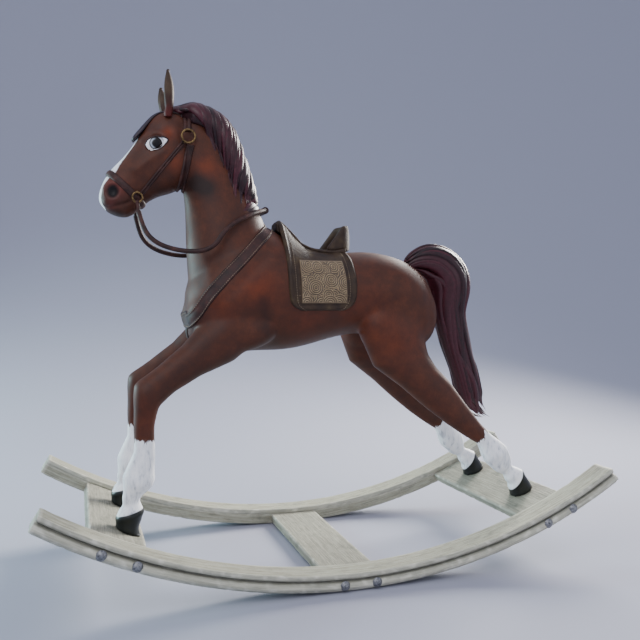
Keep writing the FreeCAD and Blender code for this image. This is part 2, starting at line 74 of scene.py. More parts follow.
def make_camera():
    """A portrait lens at a child's eye height, on the horse's near side and a little ahead."""
    data = bpy.data.cameras.new("camera")
    data.sensor_width = SENSOR_MM
    data.lens = LENS_MM
    data.clip_start = 0.05
    camera = placed("camera", data)
    camera.location = CAMERA_PLACE
    camera.rotation_euler = (math.pi / 2 + CAMERA_PITCH, 0.0, -CAMERA_YAW)
    bpy.context.scene.camera = camera


def soft_light(name, place, aim, size, power, colour, spread):
    """A round area light aimed at a place."""
    data = bpy.data.lights.new(name, "AREA")
    data.shape = "DISK"
    data.size = size
    data.energy = power
    data.spread = spread
    data.color = colour
    light = placed(name, data)
    light.location = place
    light.rotation_euler = (Vector(aim) - Vector(place)).to_track_quat("-Z", "Y").to_euler()


def make_studio():
    """A plain pale floor that curves up behind, under soft lights."""
    for light in LIGHTS:
        soft_light(*light)
    world = bpy.data.worlds.new("studio")
    world.use_nodes = True
    background = world.node_tree.nodes["Background"]
    background.inputs["Color"].default_value = SKY_COLOUR
    background.inputs["Strength"].default_value = SKY_STRENGTH
    bpy.context.scene.world = world
    profile = [(SWEEP_FRONT, 0.0)]
    for step in range(SWEEP_STEPS + 1):
        turn = math.pi / 2 * step / SWEEP_STEPS
        profile.append((SWEEP_BACK - SWEEP_RADIUS + SWEEP_RADIUS * math.sin(turn),
                        SWEEP_RADIUS - SWEEP_RADIUS * math.cos(turn)))
    profile.append((SWEEP_BACK, SWEEP_HEIGHT))
    verts = [(x, y, z) for y, z in profile for x in (-SWEEP_HALF_WIDTH, SWEEP_HALF_WIDTH)]
    faces = [(2 * i, 2 * i + 1, 2 * i + 3, 2 * i + 2) for i in range(len(profile) - 1)]
    sweep = new_piece("studio_floor", verts, faces)
    floor = material("studio_paper", "matt paper")
    shader(floor, "#a7a9b6", 0.95, Specular_IOR_Level=0.1)
    sweep.data.materials.append(floor)


# ---------------------------------------------------------------- mesh helpers

def new_piece(name, verts, faces, smooth=True):
    """A mesh object from vertices and faces."""
    mesh = bpy.data.meshes.new(name)
    mesh.from_pydata([tuple(v) for v in verts], [], faces)
    mesh.validate()
    if smooth:
        mesh.shade_smooth()
    return placed(name, mesh)


def applied(piece):
    """The piece with its modifiers made part of its mesh."""
    graph = bpy.context.evaluated_depsgraph_get()
    mesh = bpy.data.meshes.new_from_object(piece.evaluated_get(graph))
    piece.modifiers.clear()
    old = piece.data
    piece.data = mesh
    mesh.name = old.name
    bpy.data.meshes.remove(old)
    return piece


def read(items, field, width, kind=float):
    """A field of a mesh's vertices or edges, one row for each."""
    flat = np.empty(len(items) * width, dtype=kind)
    items.foreach_get(field, flat)
    return flat.reshape(-1, width)


def points_of(mesh):
    return read(mesh.vertices, "co", 3)


def normals_of(mesh):
    return read(mesh.vertices, "normal", 3)


def edges_of(mesh):
    return read(mesh.edges, "vertices", 2, np.int64)


def move_points(mesh, points):
    mesh.vertices.foreach_set("co", points.ravel())
    mesh.update()


def smoothed(points, edges, rounds, keep_size=True):
    """Evens out a surface; with keep_size it doesn't shrink."""
    a, b = edges[:, 0], edges[:, 1]
    count = np.bincount(a, minlength=len(points)) + np.bincount(b, minlength=len(points))
    for step in range(rounds):
        factor = -0.53 if keep_size and step % 2 else 0.5
        mean = np.empty_like(points)
        for axis in range(3):
            total = np.bincount(a, points[b, axis], len(points)) + np.bincount(b, points[a, axis], len(points))
            mean[:, axis] = total / np.maximum(count, 1)
        points = points + factor * (mean - points)
    return points


def evened(grids, rounds, around=False):
    """Evens out grids of points along their rows, in place."""
    for _ in range(rounds):
        for grid in grids:
            if around:
                grid[:] = 0.5 * grid + 0.25 * (np.roll(grid, 1, axis=0) + np.roll(grid, -1, axis=0))
            else:
                grid[1:-1] = 0.5 * grid[1:-1] + 0.25 * (grid[2:] + grid[:-2])


def outer_island(mesh):
    """Leaves only the largest connected surface, which drops the hollow's own wall."""
    edges = edges_of(mesh)
    label = np.arange(len(mesh.vertices))
    while True:
        low = np.minimum(label[edges[:, 0]], label[edges[:, 1]])
        new = label.copy()
        np.minimum.at(new, edges[:, 0], low)
        np.minimum.at(new, edges[:, 1], low)
        new = new[new]
        if (new == label).all():
            break
        label = new
    keep = label == np.bincount(label).argmax()
    order = np.cumsum(keep) - 1
    points = points_of(mesh)[keep]
    faces = [tuple(int(order[v]) for v in p.vertices) for p in mesh.polygons if keep[p.vertices[0]]]
    mesh.clear_geometry()
    mesh.from_pydata([tuple(p) for p in points], [], faces)


def set_attributes(mesh, **values):
    """Stores numbers for each vertex under the names that the finishes read."""
    for name, numbers in values.items():
        made = mesh.attributes.new(name, "FLOAT", "POINT")
        made.data.foreach_set("value", np.asarray(numbers, dtype=np.float32))


def distance_to_path(points, path):
    """Distance from each point to a path of straight stretches."""
    best = np.full(len(points), 1e9)
    for start, end in zip(path[:-1], path[1:]):
        start, end = np.array(start), np.array(end)
        run = end - start
        along = np.clip(((points - start) @ run) / (run @ run), 0, 1)
        gap = np.linalg.norm(points - start - along[:, None] * run, axis=1)
        best = np.minimum(best, gap)
    return best


def unit(vectors):
    """Vectors, or one vector, made of length one."""
    vectors = np.array(vectors, dtype=float)
    return vectors / np.linalg.norm(vectors, axis=-1)[..., None]


def ring_faces(rings, sides):
    """The faces between rings of vertices."""
    return [(i * sides + k, i * sides + n, (i + 1) * sides + n, (i + 1) * sides + k)
            for i in range(rings - 1) for k, n in neighbours(sides)]


def neighbours(sides):
    """Each place round a ring with the next one."""
    return [(k, (k + 1) % sides) for k in range(sides)]


def tube_faces(rings, sides):
    """The faces between rings of vertices and over both ends."""
    return ring_faces(rings, sides) + [tuple(range(sides))[::-1], tuple(range((rings - 1) * sides, rings * sides))]


def bead_faces(rings, spokes):
    """The faces between rings of vertices and two poles that come after them."""
    first, last = rings * spokes, rings * spokes + 1
    faces = []
    for k, n in neighbours(spokes):
        faces.append((first, k, n))
        faces.append((last, (rings - 1) * spokes + n, (rings - 1) * spokes + k))
        for r in range(rings - 1):
            faces.append((r * spokes + k, (r + 1) * spokes + k, (r + 1) * spokes + n, r * spokes + n))
    return faces


def closed_shell(name, outer, inner, around=False):
    """A closed piece between two grids of points, rows by columns; around joins its last row to its first."""
    rows, columns = len(outer), len(outer[0])
    verts = [p for row in outer for p in row] + [p for row in inner for p in row]
    base = rows * columns
    faces = []
    for i in range(rows if around else rows - 1):
        k = (i + 1) % rows
        for j in range(columns - 1):
            a, b, c, d = i * columns + j, k * columns + j, k * columns + j + 1, i * columns + j + 1
            faces.append((a, b, c, d))
            faces.append((base + d, base + c, base + b, base + a))
        for j, flip in ((0, False), (columns - 1, True)):
            rim = [i * columns + j, base + i * columns + j, base + k * columns + j, k * columns + j]
            faces.append(tuple(rim[::-1] if flip else rim))
    if not around:
        for j in range(columns - 1):
            faces.append((j, j + 1, base + j + 1, base + j))
            far = (rows - 1) * columns + j
            faces.append((far + 1, far, base + far, base + far + 1))
    return outward(new_piece(name, verts, faces))


def outward(piece):
    """Turns every face outwards."""
    work = bmesh.new()
    work.from_mesh(piece.data)
    bmesh.ops.recalc_face_normals(work, faces=work.faces)
    work.to_mesh(piece.data)
    work.free()
    return piece


def smooth_curve(points, count):
    """Evenly spaced points on a smooth curve through the given ones."""
    points = [np.array(p, dtype=float) for p in points]
    padded = [2 * points[0] - points[1]] + points + [2 * points[-1] - points[-2]]
    fine = []
    for i in range(1, len(padded) - 2):
        p0, p1, p2, p3 = padded[i - 1:i + 3]
        for step in range(24):
            t = step / 24
            fine.append(0.5 * (2 * p1 + (p2 - p0) * t + (2 * p0 - 5 * p1 + 4 * p2 - p3) * t * t
                               + (3 * p1 - p0 - 3 * p2 + p3) * t ** 3))
    fine.append(points[-1])
    fine = np.array(fine)
    reach = np.concatenate([[0], np.cumsum(np.linalg.norm(np.diff(fine, axis=0), axis=1))])
    wanted = np.linspace(0, reach[-1], count)
    return np.stack([np.interp(wanted, reach, fine[:, axis]) for axis in range(3)], axis=1)


def tube(name, path, radii, sides=10, flat_axis=(0.0, 1.0, 0.0)):
    """A closed tube along a path, with a radius at each point."""
    path = np.array(path)
    side = np.array(flat_axis)
    verts = []
    for point, tangent, radius in zip(path, unit(np.gradient(path, axis=0)), radii):
        across = unit(side - tangent * (side @ tangent))
        up = np.cross(tangent, across)
        for k in range(sides):
            turn = 2 * math.pi * k / sides
            verts.append(point + radius * (across * math.cos(turn) + up * math.sin(turn)))
    return outward(new_piece(name, verts, tube_faces(len(path), sides)))


def gathered(sources):
    """The vertices and faces of several objects as one list of each."""
    verts, faces = [], []
    for source in sources:
        base = len(verts)
        verts += [tuple(v.co) for v in source.data.vertices]
        faces += [tuple(base + v for v in p.vertices) for p in source.data.polygons]
    return verts, faces


def joined(name, pieces):
    """Several pieces of one thing as one mesh."""
    whole = new_piece(name, *gathered(pieces))
    for piece in pieces:
        bpy.data.objects.remove(piece)
    return whole


def copied(*names):
    """CAD nodes' surfaces as one new mesh."""
    return new_piece("carving", *gathered([nodes[name] for name in names]))


def remeshed(piece, voxel_mm):
    """The piece's outer skin as an even mesh that can be modelled."""
    modifier = piece.modifiers.new("even", "REMESH")
    modifier.mode = "VOXEL"
    modifier.voxel_size = voxel_mm * MM
    applied(piece)
    outer_island(piece.data)
    return piece


def settle(piece, finish, slot, *replaced):
    """Paints the piece, hides the parts it stands in for, and lets it move with the horse."""
    if finish:
        piece.data.materials.append(finishes[finish])
    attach(piece, "horse")
    if replaced:
        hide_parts(*replaced)


# ---------------------------------------------------------------- material helpers

def hex_colour(text):
    """An sRGB hex colour as the linear colour that shaders use."""
    channels = [int(text[i:i + 2], 16) / 255 for i in (1, 3, 5)]
    linear = [c / 12.92 if c <= 0.04045 else ((c + 0.055) / 1.055) ** 2.4 for c in channels]
    return (*linear, 1.0)


def material(name, made_of):
    """A new finish, named after what it is made of."""
    finish = bpy.data.materials.new(name)
    finish.use_nodes = True
    finish["made_of"] = made_of
    return finish


class Value:
    """A node's output. Sums and products of values are written as usual, and each is a Math node."""

    def __init__(self, finish, socket):
        self.finish, self.socket = finish, socket

    def calc(self, operation, first, second):
        return add(self.finish, "Math", {"operation": operation}, i0=first, i1=second)

    def __add__(self, other):
        return self.calc("ADD", self, other)

    def __sub__(self, other):
        return self.calc("SUBTRACT", self, other)

    def __rsub__(self, other):
        return self.calc("SUBTRACT", other, self)

    def __mul__(self, other):
        return self.calc("MULTIPLY", self, other)

    def clamped(self):
        """This sum or product, held between 0 and 1."""
        self.socket.node.use_clamp = True
        return self


def connect(value, socket):
    """Feeds a socket from a Value, a hex colour, a number or a tuple."""
    if isinstance(value, Value):
        value.finish.node_tree.links.new(value.socket, socket)
    else:
        socket.default_value = hex_colour(value) if isinstance(value, str) else value


def add(finish, kind, settings=None, output=0, **links):
    """Adds a node with its settings and links, and returns one output; i0, i1 and so on are inputs by number."""
    made = finish.node_tree.nodes.new("ShaderNode" + kind)
    for key, value in (settings or {}).items():
        setattr(made, key, value)
    for key, value in links.items():
        connect(value, made.inputs[int(key[1:]) if key[1:].isdigit() else key.replace("_", " ")])
    return Value(finish, made.outputs[output])


def shader(finish, base, roughness, metallic=0.0, bump=None, bump_height=0.0, **fixed):
    """Sets the finish's own shader; base, roughness and bump may be node outputs."""
    principled = finish.node_tree.nodes["Principled BSDF"]
    for key, value in {"Base Color": base, "Roughness": roughness, "Metallic": metallic, **fixed}.items():
        connect(value, principled.inputs[key.replace("_", " ")])
    if bump is not None:
        connect(add(finish, "Bump", Height=bump, Distance=bump_height, Strength=1.0), principled.inputs["Normal"])
    return finish


def ramp(value, *stops):
    """A colour ramp between hex colours at given places."""
    made = add(value.finish, "ValToRGB", Fac=value)
    band = made.socket.node.color_ramp
    while len(band.elements) < len(stops):
        band.elements.new(0.5)
    for element, (place, colour) in zip(band.elements, stops):
        element.position = place
        element.color = hex_colour(colour)
    return made


def mix(factor, first, second, blend="MIX"):
    """One colour over another; first is a Value."""
    settings = {"data_type": "RGBA", "blend_type": blend}
    return add(first.finish, "Mix", settings, 2, i0=factor, i6=first, i7=second)


def attribute(finish, name):
    """The number stored for each vertex under a name."""
    return add(finish, "Attribute", {"attribute_name": name}, "Fac")


def pattern(finish, kind, size_mm, vector=None, stretch=(1, 1, 1), **settings):
    """A noise or cell pattern whose feature is about size_mm across."""
    if vector is None:
        vector = add(finish, "TexCoord", None, "Object")
    mapped = add(finish, "Mapping", Vector=vector, Scale=stretch)
    return add(finish, kind, Vector=mapped, Scale=1 / (size_mm * MM), **settings)


def mottle(finish, size_mm, detail, roughness=0.5, vector=None, stretch=(1, 1, 1)):
    """Noise, for stains, grain and patina."""
    return pattern(finish, "TexNoise", size_mm, vector, stretch, Detail=detail, Roughness=roughness)


# ---------------------------------------------------------------- finishes

def weathered_wood(name, pale, mid, dark):
    """Old grey timber: long grain, dark weather stains, pale worn edges and painted shade in the groove under the cap
    strip.
    """
    finish = material(name, "weathered softwood")
    along, across, worn, grime = (attribute(finish, n) for n in ("along", "across", "worn", "grime"))
    place = add(finish, "CombineXYZ", X=along, Y=across)
    grain = mottle(finish, 5, 6.0, 0.65, place, (0.045, 1, 1))
    fibre = mottle(finish, 1.4, 3.0, 0.5, place, (0.03, 1, 1))
    stain = mottle(finish, 34, 6.0, 0.72, place, (0.5, 1.0, 1))
    colour = ramp(grain * 0.55 + stain * 0.45, (0.36, dark), (0.48, mid), (0.6, pale))
    colour = mix(0.55, colour, ramp(fibre, (0.34, "#8b8b80"), (0.46, "#ffffff")), "MULTIPLY")
    colour = mix(((stain - 0.5) * 4.5).clamped() * 0.8, colour, "#43463a")
    colour = mix((worn * (grain + 0.25)).clamped(), colour, "#dfddcc")
    # Painted shade: near-black in the groove that lies in shadow under the cap strip's overhang.
    colour = mix(grime * 0.9, colour, "#1f2019")
    return shader(finish, colour, stain * 0.25 + 0.55, bump=grain + fibre, bump_height=0.0008)


def leather(name, made_of, deep, face, sheen, size_mm=1.2, bump_height=0.00025, roughness=0.42):
    """Pebbled hide with a soft patina and paler rubbed high places."""
    finish = material(name, made_of)
    pebble = pattern(finish, "TexVoronoi", size_mm)
    patina = mottle(finish, 22, 5.0, 0.6)
    colour = ramp(patina, (0.32, deep), (0.55, face), (0.74, sheen))
    return shader(finish, colour, patina * 0.25 + (roughness - 0.1), bump=pebble, bump_height=bump_height,
                  Specular_IOR_Level=0.35)


def ear_hide():
    """Brown ears that turn red at the root."""
    finish = material("ear_leather", "painted leather")
    value = attribute(finish, "tone") + (mottle(finish, 8, 5.0) - 0.5) * 0.5
    colour = ramp(value, (0.05, "#541f1a"), (0.3, "#3a231a"), (0.6, "#4b3a2a"), (0.95, "#3a2a1e"))
    return shader(finish, colour, 0.6, Specular_IOR_Level=0.3)


def tooled_hide():
    """Tan hide whose pressed lines are darker than its raised ones."""
    finish = material("tooled_hide", "tan tooled leather")
    patina = mottle(finish, 9, 5.0, 0.65)
    colour = ramp(attribute(finish, "relief"), (0.05, "#2e241a"), (0.45, "#6f5b43"), (0.9, "#a8926e"))
    colour = mix(0.5, colour, ramp(patina, (0.3, "#8d8478"), (0.62, "#ffffff")), "MULTIPLY")
    return shader(finish, colour, 0.5)


def metal(name, made_of, colour, dull, roughness):
    """Metal that is dull in spots."""
    finish = material(name, made_of)
    tarnish = mottle(finish, 4, 6.0, 0.7)
    return shader(finish, ramp(tarnish, (0.35, dull), (0.6, colour)), tarnish * 0.25 + roughness, 1.0)


def hair(name, deep, face, tip):
    """Carved hair in glossy dark paint with paler tones in random places, and painted shade in the grooves between its
    ridges.
    """
    finish = material(name, "painted carved hair")
    value = attribute(finish, "tone") * 0.5 + mottle(finish, 6, 4.0) * 0.5
    colour = ramp(value, (0.25, deep), (0.55, face), (0.85, tip))
    # Painted shade: near-black in the grooves between the carved ridges.
    colour = mix((1.0 - attribute(finish, "ridge")).clamped() * 0.6, colour, "#16080b")
    return shader(finish, colour, 0.42, Specular_IOR_Level=0.4)


def coat_paint():
    """Bay coat paint: brushed browns, warm patches, painted shade, a white blaze and socks with ragged tops, and black
    hooves.
    """
    finish = material("bay_coat_paint", "painted wood")
    warm, dark, sock, blaze, rosy, nostril, hoof = (
        attribute(finish, n) for n in ("warm", "dark", "sock", "blaze", "rosy", "nostril", "hoof"))
    brushed = mottle(finish, 26, 6.0, 0.62)
    fine = mottle(finish, 2.2, 4.0, 0.6, None, (1, 1, 0.35))
    ragged = mottle(finish, 9, 4.0, 0.6, None, (1, 1, 0.3))
    value = brushed * 0.7 + fine * 0.3
    colour = ramp(value, (0.3, "#371a0f"), (0.5, "#482312"), (0.7, "#5a2d18"))
    colour = mix((warm * (brushed + 0.2)).clamped(), colour, "#803410")
    # Painted shade: the coat goes near-black where the dark attribute marks shade under the body, jaw and elbows.
    colour = mix(dark, colour, "#1a0c07")
    edge = (ragged - 0.5) * 0.055
    white = ramp(ragged, (0.3, "#bcbec5"), (0.44, "#eef0f3"), (0.58, "#ffffff"))
    for marking, raggedness, sharp in ((sock, 1.0, 260.0), (blaze, 0.16, 420.0)):
        colour = mix(((marking + edge * raggedness) * sharp).clamped(), colour, white)
    colour = mix((rosy * 1.0).clamped(), colour, "#7c3a33")
    colour = mix(nostril, colour, "#0c0708")
    horn = (hoof * 700.0).clamped()
    colour = mix(horn, colour, "#191c1a")
    return shader(finish, colour, value * 0.2 + 0.46 - horn * 0.2, bump=value, bump_height=0.0005,
                  Specular_IOR_Level=0.35)


def eye_glass():
    """A glass eye: white, a dark brown iris and a black pupil under a clear dome, with a painted pale highlight arc at
    the front of the iris.
    """
    finish = material("eye_glass", "painted glass")
    colour = ramp(attribute(finish, "iris"), (0.0, "#040304"), (0.5, "#070506"), (0.58, "#1c1613"),
                  (0.76, "#15100f"), (0.86, "#0a0606"), (0.9, "#f4f3f1"), (1.0, "#ffffff"))
    # Painted highlight: a pale blue-grey arc at the front of the iris.
    colour = mix(attribute(finish, "glint"), colour, "#b9c4ce")
    return shader(finish, colour, 0.3, Specular_IOR_Level=0.25, Coat_Weight=0.15, Coat_Roughness=0.1)


# ---------------------------------------------------------------- laying things on the carving

class Surface:
    """A surface that straps, hair and stitches are laid on."""

    def __init__(self, *pieces):
        self.tree = BVHTree.FromPolygons(*gathered(pieces))

    def cast(self, axis_point, direction, reach):
        """Where a ray from outside, back towards axis_point, lands; and the surface normal there."""
        axis_point = Vector(axis_point)
        direction = Vector(direction).normalized()
        origin = axis_point + direction * reach
        hit, normal, _, _ = self.tree.ray_cast(origin, -direction, reach * 1.6)
        if hit is None:
            hit, normal, _, _ = self.tree.find_nearest(axis_point)
        if normal.dot(direction) < 0:
            normal = -normal
        return np.array(hit), np.array(normal)


STRAP_SINK = 1.5 * MM


def wrapped_rows(keys, count):
    """Rows along a strap, from keys of x, z in mm, turn in degrees from the left, and the strap's run (x, z)."""
    keys = np.array(keys, dtype=float)
    at = np.linspace(0, len(keys) - 1, count)
    x, z, turn, run_x, run_z = (np.interp(at, range(len(keys)), keys[:, i]) for i in range(5))
    size = np.hypot(run_x, run_z)
    return [((x[i], z[i]), math.radians(turn[i]), (run_x[i] / size[i], run_z[i] / size[i])) for i in range(count)]


def lay_strap(name, node, surface, keys, half_width, height, profile, count=90, columns=15, reach=0.13, around=False):
    """A strap laid over a surface; profile gives its thickness from edge (-1) to edge (1)."""
    rows = wrapped_rows(keys, count + 1 if around else count)
    if around:
        rows = rows[:-1]
    hits, normals = [], []
    for (x, z), turn, (run_x, run_z) in rows:
        direction = (math.sin(turn) * run_x, -math.cos(turn), math.sin(turn) * run_z)
        line = []
        for j in range(columns):
            v = half_width * (2 * j / (columns - 1) - 1)
            line.append(surface.cast(((x + v * run_z) * MM, 0, (z - v * run_x) * MM), direction, reach))
        hits.append([h for h, _ in line])
        normals.append([n for _, n in line])
    hits, normals = np.array(hits), np.array(normals)
    evened((hits, normals), 4, around)
    normals = unit(normals)
    rise = np.array([profile(v) for v in np.linspace(-1, 1, columns)])[None, :, None] * height * MM
    strap = closed_shell(name, hits + normals * rise, hits - normals * STRAP_SINK, around)
    settle(strap, "strap", "strap_leather", node)
    return hits, normals


def round_profile(v):
    """A rolled strap."""
    return math.sqrt(max(0.0, 1 - 0.93 * v * v))


def edged_profile(v):
    """A flat strap with a bead along each edge."""
    bead = math.exp(-((abs(v) - 0.78) / 0.16) ** 2)
    return (0.6 + 0.4 * bead) * math.sqrt(max(0.0, 1 - v ** 8 * 0.9))


def twin_profile(v):
    """Two rolled lines side by side."""
    return 0.3 + 0.7 * math.sqrt(abs(math.sin(math.pi * v))) if abs(v) < 0.99 else 0.3


def left_and_right(keys):
    """The keys of a strap that runs over the middle, from its left half's keys that end at turn 90."""
    back = [(x, z, 180 - turn, a, b) for x, z, turn, a, b in keys[:-1]]
    return keys + back[::-1]


def stitch_rows(name, rows, slot, spacing_mm, stitch_mm):
    """Rows of small waxed stitches, instanced along lines of points."""
    verts, edges = [], []
    for row in rows:
        base = len(verts)
        verts += [tuple(p) for p in row]
        edges += [(base + i, base + i + 1) for i in range(len(row) - 1)]
    mesh = bpy.data.meshes.new(name)
    mesh.from_pydata(verts, edges, [])
    piece = placed(name, mesh)
    modifier = piece.modifiers.new("stitches", "NODES")
    modifier.node_group = stitch_group()
    sockets = {item.name: item.identifier for item in modifier.node_group.interface.items_tree}
    modifier[sockets["Spacing"]] = spacing_mm * MM
    modifier[sockets["Length"]] = stitch_mm * MM
    modifier[sockets["Finish"]] = finishes["thread"]
    settle(applied(piece), None, slot)


STITCH_NODES = {
    "start": "NodeGroupInput", "end": "NodeGroupOutput", "curve": "GeometryNodeMeshToCurve",
    "even": "GeometryNodeResampleCurve", "bead": "GeometryNodeMeshIcoSphere",
    "tangent": "GeometryNodeInputTangent", "turn": "FunctionNodeAlignRotationToVector",
    "size": "ShaderNodeCombineXYZ", "thin": "ShaderNodeMath", "place": "GeometryNodeInstanceOnPoints",
    "real": "GeometryNodeRealizeInstances", "paint": "GeometryNodeSetMaterial",
}
STITCH_LINKS = (
    ("start", "Geometry", "curve", 0), ("curve", 0, "even", "Curve"), ("start", "Spacing", "even", "Length"),
    ("tangent", 0, "turn", "Vector"), ("start", "Length", "thin", 0), ("start", "Length", "size", 0),
    ("thin", 0, "size", 1), ("thin", 0, "size", 2), ("even", 0, "place", "Points"),
    ("bead", "Mesh", "place", "Instance"), ("turn", 0, "place", "Rotation"), ("size", 0, "place", "Scale"),
    ("place", 0, "real", 0), ("real", 0, "paint", "Geometry"), ("start", "Finish", "paint", "Material"),
    ("paint", 0, "end", 0),
)
STITCH_SLIMNESS = 0.42


def stitch_group():
    """Puts one rounded stitch at even spacing along every line of the input."""
    known = bpy.data.node_groups.get("stitch_row")
    if known:
        return known
    group = bpy.data.node_groups.new("stitch_row", "GeometryNodeTree")
    for name, side, kind in (("Geometry", "INPUT", "Geometry"), ("Spacing", "INPUT", "Float"),
                             ("Length", "INPUT", "Float"), ("Finish", "INPUT", "Material"),
                             ("Geometry", "OUTPUT", "Geometry")):
        group.interface.new_socket(name, in_out=side, socket_type="NodeSocket" + kind)
    made = {name: group.nodes.new(kind) for name, kind in STITCH_NODES.items()}
    made["even"].mode = "LENGTH"
    made["turn"].axis = "X"
    made["thin"].operation = "MULTIPLY"
    made["thin"].inputs[1].default_value = STITCH_SLIMNESS
    made["bead"].inputs["Radius"].default_value = 0.5
    made["bead"].inputs["Subdivisions"].default_value = 2
    for giver, output, taker, socket in STITCH_LINKS:
        group.links.new(made[giver].outputs[output], made[taker].inputs[socket])
    return group


# ---------------------------------------------------------------- the carving

CARVING_NODES = ("body_upper", "body_lower", "neck", "head", "foreleg_left", "foreleg_right",
                 "hindleg_left", "hindleg_right")
FACE_LINE = [(-339, 957), (-366, 938), (-387, 908), (-396, 891), (-424, 855), (-447, 829), (-455, 822),
             (-469, 792), (-473, 771), (-470, 757)]


def swell(mm, normals, path, radius, height, both=True):
    """Raises (or sinks) the surface near a path of (x, z) points, on both flanks."""
    flat = mm[:, (0, 2)]
    gap = distance_to_path(flat, path) if len(path) > 1 else np.linalg.norm(flat - np.array(path[0]), axis=1)
    flank = np.clip(np.abs(normals[:, 1]) * 1.6, 0, 1) if both else 1.0
    return mm + normals * (height * np.exp(-(gap / radius) ** 2) * flank)[:, None]


# Where the surface rises or sinks on both flanks: a path of (x, z) points, its reach and its height, all in mm.
MODELLING = (
    # cheek, cheekbone, brow, hollow over the eye, nose
    ([(-322, 838)], 30, 4.0),
    ([(-345, 866), (-372, 850), (-402, 826)], 8, 2.6),
    ([(-388, 893), (-364, 903), (-342, 899)], 7, 3.0),
    ([(-334, 912)], 10, -2.0),
    ([(-452, 796), (-458, 788)], 7, 2.6),
    # mouth, lips and throat
    ([(-466, 749), (-446, 752), (-424, 758), (-412, 764)], 2.6, -2.6),
    ([(-458, 762), (-440, 764)], 7, 1.6),
    ([(-436, 741), (-420, 744)], 7, 1.6),
    ([(-300, 792), (-292, 845), (-292, 885)], 11, -3.0),
    # shoulder, its rear edge, elbow, breast
    ([(-218, 560)], 46, 5.0),
    ([(-140, 655), (-196, 600), (-250, 545)], 13, -2.5),
    ([(-175, 520), (-200, 480)], 26, -3.0),
    ([(-262, 650), (-240, 560)], 16, 2.5),
    # haunch, flank, stifle, seat bone
    ([(196, 600)], 52, 4.5),
    ([(112, 596), (96, 560)], 30, -4.0),
    ([(128, 520), (150, 500)], 26, 3.0),
    ([(232, 560), (236, 500)], 12, -2.0),
)
# The same all round the legs: knees, fetlocks, pasterns and the crowns of the hooves, then the hocks and hind feet.
LEG_MODELLING = (
    ([(-390, 374)], 34, 4.0),
    ([(-396, 318)], 26, 2.0),
    ([(-408, 202)], 17, 6.0),
    ([(-380, 198)], 13, 4.0),
    ([(-436, 160), (-398, 168)], 11, -7.5),
    ([(-446, 134), (-390, 147)], 6, 2.6),
    ([(-396, 112)], 17, -7.0),
    ([(386, 214)], 18, 5.5),
    ([(407, 160), (434, 186)], 11, -6.5),
    ([(428, 130), (460, 174)], 6, 2.6),
    ([(352, 262)], 14, 2.0),
)
# Flesh where the limbs meet the body: centre, the (x, z) way it runs, and half sizes along, across and in y, in mm.
MUSCLES = (
    ((-226, 66, 483), (-0.83, -0.55), (86, 50, 38)),
    ((-172, 60, 494), (-1.0, -0.30), (66, 38, 40)),
    ((-262, 40, 545), (-0.5, -0.86), (50, 34, 44)),
    ((160, 62, 548), (0.0, -1.0), (86, 82, 46)),
    ((214, 54, 532), (0.1, -1.0), (74, 50, 44)),
    ((118, 64, 500), (0.25, -1.0), (60, 44, 44)),
)
# Joins between blocks that are rubbed smooth: x, z and reach in mm, and rounds of smoothing.
SOFT_PLACES = ((-200, 488, 74, 34), (-388, 372, 62, 26), (-405, 300, 40, 14), (176, 520, 95, 34), (347, 252, 32, 10),
               (-270, 560, 60, 20), (-235, 690, 70, 10))
NOSTRIL_PLACE, NOSTRIL_HALF_SIZE, NOSTRIL_DEPTH, NOSTRIL_RIM, NOSTRIL_FROM_Y = (-447.5, 783), (10.5, 12.0), 7.5, 1.6, 6
# Spots of warmer paint: x, z and radius in mm, and strength.
WARM_SPOTS = ((-337, 905, 14, 0.9), (-322, 846, 20, 0.6), (-262, 834, 26, 0.6), (-160, 590, 40, 0.6),
              (-240, 545, 36, 0.35), (-60, 500, 50, 0.3), (60, 520, 60, 0.35), (150, 470, 50, 0.35),
              (-380, 330, 40, 0.3))
# The blaze's half width at heights up the face, in mm.
BLAZE_HEIGHTS, BLAZE_HALF_WIDTHS = (745, 775, 800, 822, 838, 860, 900, 915), (16, 18, 17, 24, 20, 15, 10, 0)
FORE_SOCK_TOP = 286
UNMARKED = -50


def muscle(centre, run, semi):
    """An egg of flesh that fills the hollow between two carved blocks; semi is along its run, across it, and in y."""
    centre = np.array(centre)
    run = np.array((run[0], 0.0, run[1])) / math.hypot(*run)
    over = np.array((-run[2], 0.0, run[0]))
    rings, spokes = 14, 24
    verts = []
    for r in range(1, rings):
        lean = math.pi * r / rings
        for k in range(spokes):
            turn = 2 * math.pi * k / spokes
            verts.append(centre + run * (semi[0] * math.cos(lean)) + over * (semi[1] * math.sin(lean) * math.cos(turn))
                         + np.array((0, semi[2] * math.sin(lean) * math.sin(turn), 0)))
    verts += [centre + run * semi[0], centre - run * semi[0]]
    return outward(new_piece("muscle", np.array(verts) * MM, bead_faces(rings - 1, spokes), smooth=False))


def spot_of(flat, x, z, radius, strength):
    """A soft round spot of paint on both flanks."""
    return strength * np.exp(-(np.hypot(flat[:, 0] - x, flat[:, 1] - z) / radius) ** 2)


def streak_of(flat, path, radius, strength):
    """A soft streak of paint along a path of (x, z) points on both flanks."""
    return strength * np.exp(-(distance_to_path(flat, path) / radius) ** 2)


